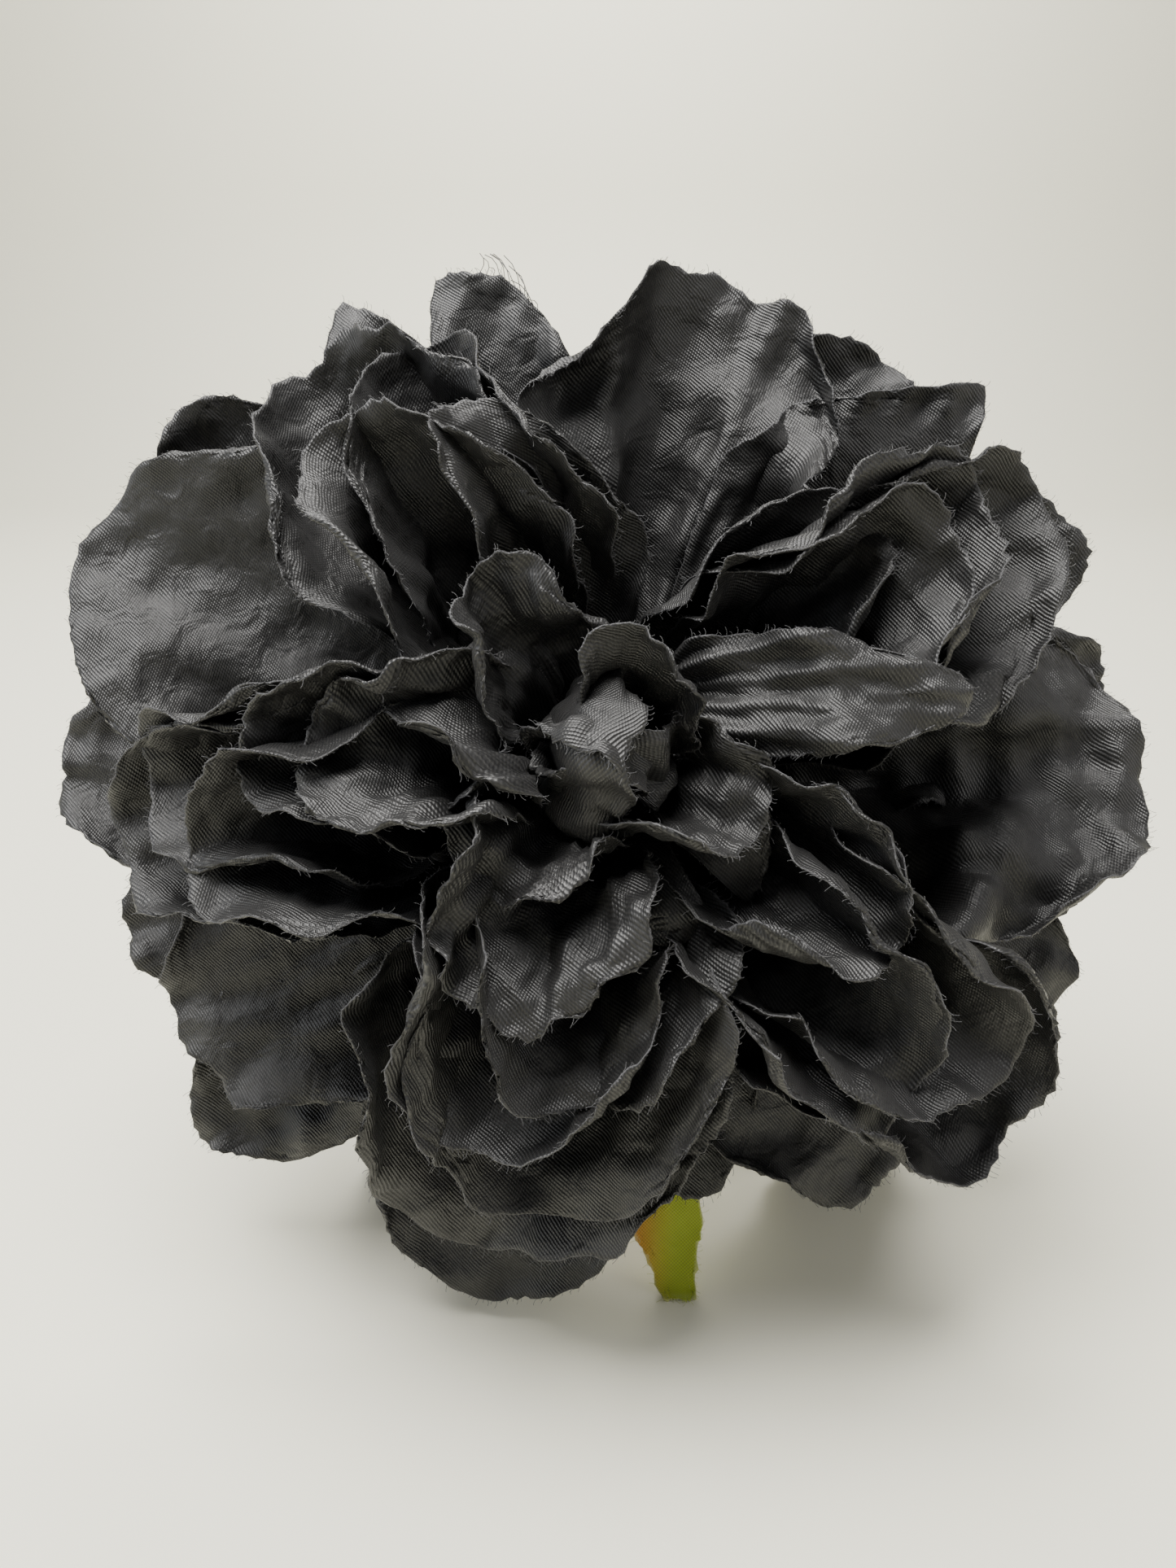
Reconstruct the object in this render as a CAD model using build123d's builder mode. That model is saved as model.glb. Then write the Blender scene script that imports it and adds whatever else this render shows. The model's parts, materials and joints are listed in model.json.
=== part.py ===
"""Large fabric peony on a toothed alligator hair clip, standing on its lower petals.

The flower's own axis runs out through its face. Azimuths are clock angles seen from the
front: 0 is up, 90 is to the right. Heights are measured along the flower's axis from the
plane of its widest petals, positive towards the face. Everything is in millimetres.
"""

import os
from math import cos, radians, sin, tan

from build123d import *

# How the flower stands
TILT = 24.0  # rise of the flower's axis above level
FRONT_DROP = 60.0  # flower axis to the floor, straight down, at the plane of the widest petals

# Die-cut cloth sheets on the stem
CLOTH = 0.5  # sheet thickness
SHEET_PITCH = 2.5  # from one sheet to the next along the stem
FIRST_SHEET = -3.0  # height of the rearmost sheet, the leaves
FLOWER_DEPTH = 60.0  # no petal rises or drops further than this
STEM_RADIUS = 2.5
STEM_CLEARANCE = 0.1  # radial, between the stem and whatever is threaded on it
SPACER_WALL = 0.8

# Petals: azimuth, reach from the axis, height of the tip
LEAVES = [(174, 65.5, -1.0), (246, 47, -8), (318, 47, -8), (30, 47, -8), (102, 47, -8)]
BACK_PETALS = [(344, 62, 5), (25, 58, 5), (68, 63, 4), (112, 63, 1), (268, 65, 2), (306, 64, 4)]
FRONT_PETALS = [(8, 58, 17), (48, 60, 14), (92, 68, 8), (172, 67.2, 3), (232, 62, 6), (290, 64, 12)]
# Back petals that bend away behind the flower and prop it up: azimuth, and how much of the
# way to the floor their tips reach, as a corner of the petal gets there first
FEET = [(146, 0.969), (204, 0.981)]
FOOT_TIP = -36.0  # height of a foot petal's tip, behind the widest petals
CLUMP_AZIMUTHS = [58, 130, 192, 260, 325]  # where the gathered petals nest in one another
# Gathered sheets: rise of the petal's own axis, where its cup starts, cup radius in the
# middle and at the end, arc of the cup, and each petal's length
GATHERED = [
    (33, 10.0, 14.5, 16.5, 124, [56, 62, 52, 52, 52]),
    (36, 7.6, 12.0, 14.0, 108, [51, 56, 48, 47, 49]),
    (39, 5.7, 9.5, 11.0, 96, [45, 48, 43, 41, 44]),
    (43, 4.5, 7.0, 8.5, 84, [38, 38, 37, 34, 38]),
]
INNER_PETALS = [(83, 32, 39), (150, 19, 36), (215, 20, 36), (276, 24, 37), (335, 20, 37)]
CENTRE_PETALS = [(20, 12, 38), (110, 12, 37), (200, 13, 37), (295, 13, 38)]
BUD_PETALS = [(60, 6.8, 36), (180, 6.8, 35), (300, 6.8, 36)]

# Stem, calyx and backing
CALYX_FRONT_RADIUS = 9.0
CALYX_REAR_RADIUS = 6.5
CALYX_LENGTH = 6.5
FLANGE_RADIUS = 4.5
FLANGE_LENGTH = 1.5
GLUE_RADIUS = 12.0
GLUE_LENGTH = 1.5
FELT_RADIUS = 22.0
FELT = 1.5
BUD_RADIUS = 3.2
BUD_LENGTH = 12.0
BUD_SOCKET_DEPTH = 3.0

# Clip, measured from the felt: x along the clip, depth away from the flower
STEEL = 0.8
CLIP_WIDTH = 9.4
NOSE_X = -30.0
BASE_TAIL_X = 22.0
TAB_X = 30.0
TAB_DEPTH = 15.2
PIVOT_X = 10.0
PIVOT_DEPTH = 5.2
PIN_RADIUS = 1.0
PIN_CLEARANCE = 0.06  # radial, pin to hole
EAR_RADIUS = 2.6
LUG_RADIUS = 2.3
LEVER_SIDE_GAP = 0.3  # between a lever lug and the ear beside it
LEVER_DEPTH = 9.2  # middle of the lever's strip over the pivot
NOSE_DEPTH = 5.4  # middle of the lever's strip at the nose
TOOTH_PITCH = 2.2
TOOTH_HEIGHT = 1.1
TOOTH_COUNT = 6
TOOTH_GAP = 0.3  # between the two rows of teeth when the clip is shut
WIRE_RADIUS = 0.35
COIL_RADIUS = 1.9
COIL_PITCH = 0.9
UPPER_LEG_ANGLE = 19.0
LOWER_LEG_ANGLE = 12.0
COIL_TURNS = 3 + (180 - UPPER_LEG_ANGLE - LOWER_LEG_ANGLE) / 360
UPPER_LEG = 13.0
LOWER_LEG = 9.0
STRAP_LENGTH = 14.0
STRAP_WIDTH = 25.0
STRAP_FELT = 1.0
STRAP_X = -3.0
STRAP_CLEARANCE = 0.1

# The flower's own frame: right, up in the plane of the petals, and out through the face
RIGHT = Vector(1, 0, 0)
UP = Vector(0, sin(radians(TILT)), cos(radians(TILT)))
FACE = Vector(0, -cos(radians(TILT)), sin(radians(TILT)))
CENTRE = Vector(0, 0, FRONT_DROP)
FLOWER_AXIS = Axis(CENTRE, FACE)
HOLE_RADIUS = STEM_RADIUS + STEM_CLEARANCE
SPACER_RADIUS = HOLE_RADIUS + SPACER_WALL


def point(height):
    """The point of the flower's axis at a height."""
    return CENTRE + FACE * height


def outward(azimuth):
    """The direction away from the axis at an azimuth."""
    return RIGHT * sin(radians(azimuth)) + UP * cos(radians(azimuth))


def sideways(azimuth):
    """The direction across a petal, clockwise seen from the front."""
    return RIGHT * cos(radians(azimuth)) - UP * sin(radians(azimuth))


def station(height):
    """The plane across the flower's axis at a height."""
    return Plane(origin=point(height), x_dir=RIGHT, z_dir=FACE)


def sheet_height(index):
    """The height of the rear face of a sheet, counted from the rearmost."""
    return FIRST_SHEET + SHEET_PITCH * index


def foot_reach(azimuth, share):
    """How far a foot petal reaches from the axis, at a share of the way to the floor."""
    drop = FRONT_DROP - abs(FOOT_TIP) * sin(radians(TILT))
    return share * drop / cos(radians(TILT)) / abs(cos(radians(azimuth)))


def outline(plane, length, half_width, neck):
    """A petal's outline: a neck that widens to a rounded end. y runs along the petal."""
    with BuildSketch(plane) as shape:
        with Locations((0, 0.6 * length)):
            Ellipse(half_width, 0.4 * length)
        Polygon(
            (-neck, 0), (neck, 0), (half_width, 0.55 * length), (-half_width, 0.55 * length),
            align=None,
        )
    return shape.sketch


def open_petal(azimuth, reach, tip, height, half_width, start, arc, neck=4.0, lift=0.0):
    """A petal bent to its tip height, leaving the stem flat unless it is given some lift."""
    edge = Plane(
        origin=CENTRE,
        x_dir=outward(azimuth + arc / 2),
        z_dir=outward(azimuth + arc / 2).cross(FACE),
    )
    middle = height + CLOTH / 2
    bend = ((start + reach) / 2, middle + lift * (tip - middle))
    with BuildPart() as petal:
        with BuildSketch(edge):
            with BuildLine():
                Bezier((start, middle), bend, (reach, tip))
            trace(line_width=CLOTH)
        revolve(axis=FLOWER_AXIS, revolution_arc=arc)
        across = Plane(origin=CENTRE, x_dir=sideways(azimuth), z_dir=FACE)
        shape = outline(across, reach, half_width, neck)
        extrude(shape, amount=FLOWER_DEPTH, dir=FACE, both=True, mode=Mode.INTERSECT)
    return petal.part


def cupped_petal(azimuth, rise, start, middle_radius, end_radius, arc, length, height):
    """A petal bent into a trough round its own axis, which rises from the stem."""
    tilt = radians(rise)
    along = outward(azimuth) * cos(tilt) + FACE * sin(tilt)
    normal = FACE * cos(tilt) - outward(azimuth) * sin(tilt)
    apex = point(height + CLOTH / 2)
    first = cos(tilt) * start
    first_radius = first * tan(tilt)
    side = sideways(azimuth) * sin(radians(arc / 2)) - normal * cos(radians(arc / 2))
    edge = Plane(origin=apex, x_dir=side, z_dir=side.cross(along))
    with BuildPart() as petal:
        with BuildSketch(edge):
            with BuildLine():
                Bezier(
                    (first_radius, first),
                    (middle_radius, 0.6 * length),
                    (end_radius, length),
                )
            trace(line_width=CLOTH)
        revolve(axis=Axis(apex, along), revolution_arc=arc)
        across = Plane(origin=apex, x_dir=sideways(azimuth), z_dir=normal)
        shape = outline(across, length, 1.05 * end_radius, 0.7 * end_radius)
        extrude(shape, amount=length, dir=normal, both=True, mode=Mode.INTERSECT)
    return petal.part


def sheet(name, height, hub_radius, petals):
    """One die-cut sheet: a hub with a hole for the stem, and its petals."""
    with BuildPart() as cloth:
        with BuildSketch(station(height)):
            Circle(hub_radius)
        extrude(amount=CLOTH)
        for petal in petals:
            add(petal)
        with BuildSketch(station(height - SHEET_PITCH / 2)):
            Circle(HOLE_RADIUS)
        extrude(amount=SHEET_PITCH, mode=Mode.SUBTRACT)
    cloth.part.label = name
    return cloth.part


def leaf_sheet():
    """The green calyx leaves, rearmost on the stem."""
    height = sheet_height(0)
    start = CALYX_FRONT_RADIUS + 0.5
    leaves = [open_petal(a, r, t, height, 5.5, start, 20, neck=1.2) for a, r, t in LEAVES]
    return sheet("calyx_leaves", height, start + 0.5, leaves)


def back_sheet():
    """The widest petals and the two that prop the flower up."""
    height = sheet_height(1)
    petals = [open_petal(a, r, t, height, 19, 5, 46) for a, r, t in BACK_PETALS]
    for azimuth, share in FEET:
        reach = foot_reach(azimuth, share)
        petals.append(open_petal(azimuth, reach, FOOT_TIP, height, 17, 5, 36))
    return sheet("outer_petals_back", height, 8.0, petals)


def front_sheet():
    """The second ring of open petals."""
    height = sheet_height(2)
    petals = [open_petal(a, r, t, height, 20, 5, 50) for a, r, t in FRONT_PETALS]
    return sheet("outer_petals_front", height, 8.0, petals)


def gathered_sheet(index):
    """One of the nested sheets whose petals are gathered into the clumps."""
    rise, start, middle_radius, end_radius, arc, lengths = GATHERED[index]
    height = sheet_height(3 + index)
    petals = [
        cupped_petal(azimuth, rise, start, middle_radius, end_radius, arc, length, height)
        for azimuth, length in zip(CLUMP_AZIMUTHS, lengths)
    ]
    return sheet(f"gathered_petals_{index + 1}", height, start + 0.7, petals)


def inner_sheet(name, index, table, half_width, arc, hub_radius):
    """One of the small steep sheets round the bud."""
    height = sheet_height(index)
    petals = [
        open_petal(a, r, t, height, half_width, hub_radius - 0.5, arc, neck=3.5, lift=0.45)
        for a, r, t in table
    ]
    return sheet(name, height, hub_radius, petals)


def spacers(count):
    """The plastic beads that hold the sheets apart on the stem."""
    with BuildPart() as beads:
        for index in range(count):
            with BuildSketch(station(sheet_height(index) + CLOTH)):
                Circle(SPACER_RADIUS)
                Circle(HOLE_RADIUS, mode=Mode.SUBTRACT)
            extrude(amount=SHEET_PITCH - CLOTH)
    beads.part.label = "stem_spacers"
    return beads.part


def stem(top, rear):
    """The moulded peg that everything is threaded on, with its flange at the rear."""
    with BuildPart() as peg:
        with BuildSketch(station(rear)):
            Circle(FLANGE_RADIUS)
        extrude(amount=FLANGE_LENGTH)
        with BuildSketch(station(rear)):
            Circle(STEM_RADIUS)
        extrude(amount=top - rear)
        chamfer(peg.faces().sort_by(FLOWER_AXIS)[-1].edges(), 0.5)
    peg.part.label = "stem_peg"
    return peg.part


def calyx(rear):
    """The green plastic cup behind the leaves, counterbored for the peg's flange."""
    with BuildPart() as cup:
        with BuildSketch(station(rear)):
            Circle(CALYX_REAR_RADIUS)
        with BuildSketch(station(rear + CALYX_LENGTH)):
            Circle(CALYX_FRONT_RADIUS)
        loft()
        with BuildSketch(station(rear)):
            Circle(HOLE_RADIUS)
        extrude(amount=CALYX_LENGTH, mode=Mode.SUBTRACT)
        with BuildSketch(station(rear)):
            Circle(FLANGE_RADIUS + STEM_CLEARANCE)
        extrude(amount=FLANGE_LENGTH + STEM_CLEARANCE, mode=Mode.SUBTRACT)
    cup.part.label = "calyx_cup"
    return cup.part


def disc(name, rear, radius, length, edge):
    """A round pad across the flower's axis with a softened rim at its rear."""
    with BuildPart() as pad:
        with BuildSketch(station(rear)):
            Circle(radius)
        extrude(amount=length)
        fillet(pad.faces().sort_by(FLOWER_AXIS)[0].edges(), edge)
    pad.part.label = name
    return pad.part


def bud(rear, top):
    """The core at the flower's heart, pushed on the end of the peg."""
    side = Plane(origin=point(rear), x_dir=RIGHT, z_dir=RIGHT.cross(FACE))
    with BuildPart() as core:
        with BuildSketch(side):
            with BuildLine():
                Polyline((BUD_RADIUS, BUD_LENGTH * 0.45), (BUD_RADIUS, 0), (0, 0), (0, BUD_LENGTH))
                Bezier(
                    (BUD_RADIUS, BUD_LENGTH * 0.45), (BUD_RADIUS, BUD_LENGTH), (0, BUD_LENGTH)
                )
            make_face()
        revolve(axis=FLOWER_AXIS)
        with BuildSketch(station(rear)):
            Circle(HOLE_RADIUS)
        extrude(amount=top - rear + STEM_CLEARANCE, mode=Mode.SUBTRACT)
    core.part.label = "bud_core"
    return core.part


def clip_side(origin):
    """The plane down the middle of the clip: x along the clip, y away from the flower."""
    return Plane(origin=origin, x_dir=RIGHT, z_dir=UP)


def teeth(first_x, root, tip):
    """The points of a row of teeth along the nose, from its outer end inwards."""
    points = []
    for index in range(TOOTH_COUNT):
        x = first_x + TOOTH_PITCH * index
        points.append((x, root))
        points.append((x + TOOTH_PITCH / 2, tip))
    points.append((first_x + TOOTH_PITCH * TOOTH_COUNT, root))
    return points


def clip_base(side):
    """The jaw that is glued to the felt, with its ears and its row of teeth."""
    last_x = NOSE_X + TOOTH_PITCH * TOOTH_COUNT
    root = STEEL + 0.9
    with BuildPart() as base:
        with BuildSketch(side):
            with Locations(((NOSE_X + BASE_TAIL_X) / 2, STEEL / 2)):
                Rectangle(BASE_TAIL_X - NOSE_X, STEEL)
        extrude(amount=CLIP_WIDTH / 2, both=True)
        for direction in (-1, 1):
            wall = side.offset(direction * (CLIP_WIDTH / 2 - STEEL))
            with BuildSketch(wall):
                with Locations((PIVOT_X, PIVOT_DEPTH / 2)):
                    Rectangle(2 * EAR_RADIUS, PIVOT_DEPTH)
                with Locations((PIVOT_X, PIVOT_DEPTH)):
                    Circle(EAR_RADIUS)
                    Circle(PIN_RADIUS + PIN_CLEARANCE, mode=Mode.SUBTRACT)
                Polygon(
                    (NOSE_X, STEEL / 2),
                    *teeth(NOSE_X, root, root + TOOTH_HEIGHT),
                    (last_x, STEEL / 2),
                    align=None,
                )
            extrude(amount=direction * STEEL)
    base.part.label = "clip_base"
    return base.part


def clip_lever(side):
    """The jaw that opens, with its lugs, its teeth and its thumb tab."""
    half = CLIP_WIDTH / 2 - STEEL - LEVER_SIDE_GAP
    offset = TOOTH_PITCH / 2
    last_x = NOSE_X + offset + TOOTH_PITCH * TOOTH_COUNT
    tip = STEEL + 0.9 + TOOTH_GAP
    with BuildPart() as lever:
        with BuildSketch(side):
            with BuildLine():
                strip = Spline(
                    (NOSE_X, NOSE_DEPTH), (-12, LEVER_DEPTH + 0.2), (PIVOT_X, LEVER_DEPTH),
                    tangents=((1, 0.25), (1, 0)),
                )
                Line(strip @ 1, (PIVOT_X + 2, LEVER_DEPTH))
                Line((PIVOT_X + 2, LEVER_DEPTH), (TAB_X, TAB_DEPTH))
            trace(line_width=STEEL)
        extrude(amount=half, both=True)
        for direction in (-1, 1):
            wall = side.offset(direction * (half - STEEL))
            with BuildSketch(wall):
                with Locations((PIVOT_X, (PIVOT_DEPTH + LEVER_DEPTH) / 2)):
                    Rectangle(2 * LUG_RADIUS, LEVER_DEPTH - PIVOT_DEPTH)
                with Locations((PIVOT_X, PIVOT_DEPTH)):
                    Circle(LUG_RADIUS)
                    Circle(PIN_RADIUS + PIN_CLEARANCE, mode=Mode.SUBTRACT)
                Polygon(
                    (NOSE_X + offset, NOSE_DEPTH),
                    *teeth(NOSE_X + offset, tip + TOOTH_HEIGHT, tip),
                    (last_x, NOSE_DEPTH + 1.5),
                    align=None,
                )
            extrude(amount=direction * STEEL)
        tab_end = lever.faces().sort_by(Axis.X)[-1]
        fillet(tab_end.edges().sort_by(SortBy.LENGTH)[:2], 2.0)
    lever.part.label = "clip_lever"
    return lever.part


def clip_pin(side):
    """The pin through both jaws, with a head at each end."""
    reach = CLIP_WIDTH / 2
    with BuildPart() as pin:
        with BuildSketch(side):
            with Locations((PIVOT_X, PIVOT_DEPTH)):
                Circle(PIN_RADIUS)
        extrude(amount=reach, both=True)
        for direction in (-1, 1):
            with BuildSketch(side.offset(direction * reach)):
                with Locations((PIVOT_X, PIVOT_DEPTH)):
                    Circle(1.5 * PIN_RADIUS)
            extrude(amount=direction * 0.5)
    pin.part.label = "clip_pin"
    return pin.part


def clip_spring(origin):
    """The torsion spring round the pin, with one leg on each jaw behind the pivot."""
    length = COIL_PITCH * COIL_TURNS
    start = radians(UPPER_LEG_ANGLE)
    middle = origin + RIGHT * PIVOT_X - FACE * PIVOT_DEPTH - UP * (length / 2)
    coil = Plane(origin=middle, x_dir=-FACE * cos(start) - RIGHT * sin(start), z_dir=UP)
    with BuildPart() as spring:
        with BuildLine() as path:
            Helix(pitch=COIL_PITCH, height=length, radius=COIL_RADIUS)
        turns = path.line
        with BuildSketch(Plane(origin=turns @ 0, z_dir=turns % 0)):
            Circle(WIRE_RADIUS)
        sweep(path=turns, is_frenet=True)
        with BuildSketch(Plane(origin=turns @ 0, z_dir=-(turns % 0))):
            Circle(WIRE_RADIUS)
        extrude(amount=UPPER_LEG)
        with BuildSketch(Plane(origin=turns @ 1, z_dir=turns % 1)):
            Circle(WIRE_RADIUS)
        extrude(amount=LOWER_LEG)
    placed = spring.part.moved(coil.location)
    placed.label = "clip_spring"
    return placed


def felt_strap(origin):
    """The felt patch that is glued over the clip's base and holds it to the backing."""
    back = Plane(origin=origin, x_dir=RIGHT, z_dir=-FACE)
    channel = CLIP_WIDTH + 2 * STRAP_CLEARANCE
    with BuildPart() as strap:
        with BuildSketch(back):
            with Locations((STRAP_X, 0)):
                RectangleRounded(STRAP_LENGTH, STRAP_WIDTH, 3)
        extrude(amount=STEEL + STRAP_CLEARANCE + STRAP_FELT)
        with BuildSketch(back):
            with Locations((STRAP_X, 0)):
                Rectangle(STRAP_LENGTH + 1, channel)
        extrude(amount=STEEL + STRAP_CLEARANCE, mode=Mode.SUBTRACT)
        chamfer(strap.faces().sort_by(FLOWER_AXIS)[0].edges(), 0.4)
    strap.part.label = "felt_strap"
    return strap.part


def build():
    """Every piece of the flower, in the order it goes together."""
    calyx_rear = FIRST_SHEET - CALYX_LENGTH
    glue_rear = calyx_rear - GLUE_LENGTH
    felt_rear = glue_rear - FELT
    bud_rear = sheet_height(9) + CLOTH
    stem_top = bud_rear + BUD_SOCKET_DEPTH
    back = point(felt_rear)
    side = clip_side(back)
    return [
        leaf_sheet(),
        back_sheet(),
        front_sheet(),
        *[gathered_sheet(index) for index in range(len(GATHERED))],
        inner_sheet("inner_petals", 7, INNER_PETALS, 9.0, 24, 4.8),
        inner_sheet("centre_petals", 8, CENTRE_PETALS, 7.0, 60, 4.6),
        inner_sheet("bud_petals", 9, BUD_PETALS, 5.0, 84, 4.6),
        bud(bud_rear, stem_top),
        spacers(9),
        stem(stem_top, calyx_rear),
        calyx(calyx_rear),
        disc("glue_pad", glue_rear, GLUE_RADIUS, GLUE_LENGTH, 0.6),
        disc("felt_backing", felt_rear, FELT_RADIUS, FELT, 0.4),
        felt_strap(back),
        clip_base(side),
        clip_lever(side),
        clip_pin(side),
        clip_spring(back),
    ]


pieces = build()
boxes = [piece.bounding_box() for piece in pieces]
low = [min(getattr(box.min, axis) for box in boxes) for axis in "XYZ"]
high = [max(getattr(box.max, axis) for box in boxes) for axis in "XYZ"]
to_origin = Location((-(low[0] + high[0]) / 2, -(low[1] + high[1]) / 2, -low[2]))
os.makedirs("parts", exist_ok=True)
for piece in pieces:
    placed = piece.moved(to_origin)
    placed.label = piece.label
    export_step(placed, f"parts/{piece.label}.step")
    print(piece.label, len(piece.solids()), piece.is_valid, round(piece.volume, 1))
print("size", [round(top - bottom, 2) for bottom, top in zip(low, high)])
print("moved to the origin by", to_origin.position)
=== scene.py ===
"""A large black satin peony on a toothed hair clip: the cloth, the calyx and the clip's finishes."""

import json
import math

import bmesh
import bpy
import numpy as np
from bpy.props import FloatProperty, FloatVectorProperty, IntProperty, PointerProperty
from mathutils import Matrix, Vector


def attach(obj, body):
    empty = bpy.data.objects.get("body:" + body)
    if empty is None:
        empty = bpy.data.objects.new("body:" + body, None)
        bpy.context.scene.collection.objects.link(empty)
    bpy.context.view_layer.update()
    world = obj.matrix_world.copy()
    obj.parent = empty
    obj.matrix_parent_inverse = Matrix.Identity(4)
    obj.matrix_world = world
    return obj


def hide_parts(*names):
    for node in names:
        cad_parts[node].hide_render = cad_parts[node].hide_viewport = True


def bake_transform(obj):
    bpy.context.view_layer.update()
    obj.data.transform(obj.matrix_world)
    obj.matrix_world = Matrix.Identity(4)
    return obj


bl_info = {
    "name": "Satin Peony Hair Clip",
    "version": (1, 0, 0),
    "blender": (4, 5, 0),
    "location": "3D View > Sidebar > Peony",
    "description": "Gathered satin petals, calyx leaves, felt backing and a sprung clip",
    "category": "Object",
}

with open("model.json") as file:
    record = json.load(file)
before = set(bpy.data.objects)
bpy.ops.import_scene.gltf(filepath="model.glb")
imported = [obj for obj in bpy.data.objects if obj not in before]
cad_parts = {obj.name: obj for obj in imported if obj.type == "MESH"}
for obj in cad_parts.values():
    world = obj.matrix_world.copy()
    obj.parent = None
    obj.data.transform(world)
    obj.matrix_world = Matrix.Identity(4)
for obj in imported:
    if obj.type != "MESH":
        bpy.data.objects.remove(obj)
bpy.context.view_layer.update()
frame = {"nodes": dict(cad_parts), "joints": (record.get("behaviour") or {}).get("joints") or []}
MM = 0.001

# The flower's own frame, from the clip's hinge: the pin lies across the clip and behind the felt
HINGE = frame["joints"][0]
PIN = np.array(HINGE["pos_m"]) / MM
RIGHT = np.array([1.0, 0.0, 0.0])
UP = -np.array(HINGE["axis"])
FACE = np.cross(RIGHT, UP)
PIN_X, PIN_DEPTH, FELT_REAR = 10.0, 5.2, -12.5
CENTRE = PIN - RIGHT * PIN_X + FACE * (PIN_DEPTH - FELT_REAR)
FIRST_SHEET, SHEET_PITCH = -3.0, 2.5
CLOTH_SPAN = 170.0  # the square of cloth that every sheet is cut from, in millimetres
FLOOR_GAP = 0.25  # the lowest petals rest on the floor by their thickness

# Loose threads and fuzz, in metres: spacing, radius, and how far they stray from straight out
TUFT_SPACING, TUFT_RADIUS, TUFT_STRAY = 0.0008, 0.00006, 0.35
FUZZ_SPACING, FUZZ_LENGTH, FUZZ_RADIUS, FUZZ_STRAY = 0.00022, 0.0006, 0.00002, 1.6

# The stage, in metres: where the floor bends up into the wall, and the camera
WALL_START, WALL_BEND, WALL_TOP, FLOOR_FRONT, FLOOR_SIDE = 0.62, 0.20, 1.4, -1.2, 1.5
WALL_LIGHT_AIM = Vector((0, 0.8, 0.1))
CAMERA_PITCH, CAMERA_DISTANCE, CAMERA_LEFT, CAMERA_BELOW = 21.6, 0.146, 0.0013, 0.0019


# Cloth -------------------------------------------------------------------------------------


def smooth(t):
    """A soft step from 0 to 1."""
    t = np.clip(t, 0, 1)
    return t * t * (3 - 2 * t)


def folds(x, y, seed, size, count=6, creased=False):
    """Soft waves over the cloth, or sharper creases, of about one size in millimetres."""
    rng = np.random.default_rng(seed)
    total = np.zeros_like(x)
    for _ in range(count):
        heading = rng.uniform(0, math.pi)
        rate = 2 * math.pi / (size * rng.uniform(0.7, 1.6))
        wave = np.sin(rate * (x * math.cos(heading) + y * math.sin(heading)) + rng.uniform(0, 6.3))
        total += 1 - 2 * np.abs(wave) if creased else wave
    return total / math.sqrt(count)


def petal(azimuth, length, width, rise, cup=(20, 20), **more):
    """A petal's cut and pose. Rise is its slope at the stem, at mid length and at the tip,
    and cup is how far its left and right sides turn up, all in degrees."""
    made = {
        "azimuth": azimuth, "length": length, "width": width, "rise": rise, "cup": cup,
        "start": 5.0, "neck": 3.0, "flare": (0, 0), "twist": 0.0, "sweep": 0.0, "ruffle": 1.0,
        "crumple": 1.0, "pleats": 0.0, "pleat_rate": 9.0, "tip": "round", "seed": 0, "curl": 0.0, "lift": 0.0,
        "tight": 0.5, "shift": 0.0, "tuft": 0.0, "rows": 60, "columns": 43,
    }
    made.update(more)
    return made


def cut_outline(p):
    """Flat positions on the petal's grid, and how far each is from the cut edge."""
    u = 1 - (1 - np.linspace(0, 1, p["rows"])) ** 1.2
    t = np.linspace(-1, 1, p["columns"])
    v = t * (1.3 - 0.3 * t * t)
    u, v = np.meshgrid(u, v, indexing="ij")
    grown = smooth(u / 0.62) ** 0.85
    taper = np.clip((u - 0.62) / 0.38, 0, 1)
    if p["tip"] == "leaf":
        half = p["neck"] + (p["width"] - p["neck"]) * np.sin(np.clip(u, 0, 1) ** 0.8 * math.pi) ** 0.8
        half = np.maximum(half, 0.25)
        end = p["length"] * np.ones_like(v)
    else:
        half = (p["neck"] + (p["width"] - p["neck"]) * grown) * (1 - 0.24 * taper**2)
        end = p["length"] * (1 - 0.22 * np.abs(v) ** 2.8 * smooth((u - 0.3) / 0.7))
    if p["tip"] == "notched":
        end = end - p["length"] * 0.5 * np.exp(-((v + 0.02) / 0.15) ** 2) * smooth((u - 0.3) / 0.7)
    if p["tip"] == "pointed":
        end = p["length"] * (1 - 0.30 * np.abs(v + 0.2) ** 1.2 * smooth((u - 0.3) / 0.7))
    scallop = folds(u * p["length"], v * p["width"], p["seed"] + 5, 12, 5) * smooth((u - 0.25) / 0.5)
    nibbled = folds(u * p["length"], v * p["width"], p["seed"] + 7, 3.4, 6, True)
    half = half * (1 + 0.030 * scallop) + 0.16 * nibbled * smooth((u - 0.2) / 0.3)
    end = end + (0.7 * scallop + 0.26 * nibbled) * smooth((u - 0.5) / 0.5)
    x, y = v * half, u * end
    edge = np.minimum((1 - np.abs(v)) * half, (1 - u) * end)
    return u, v, x, y, edge


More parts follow.
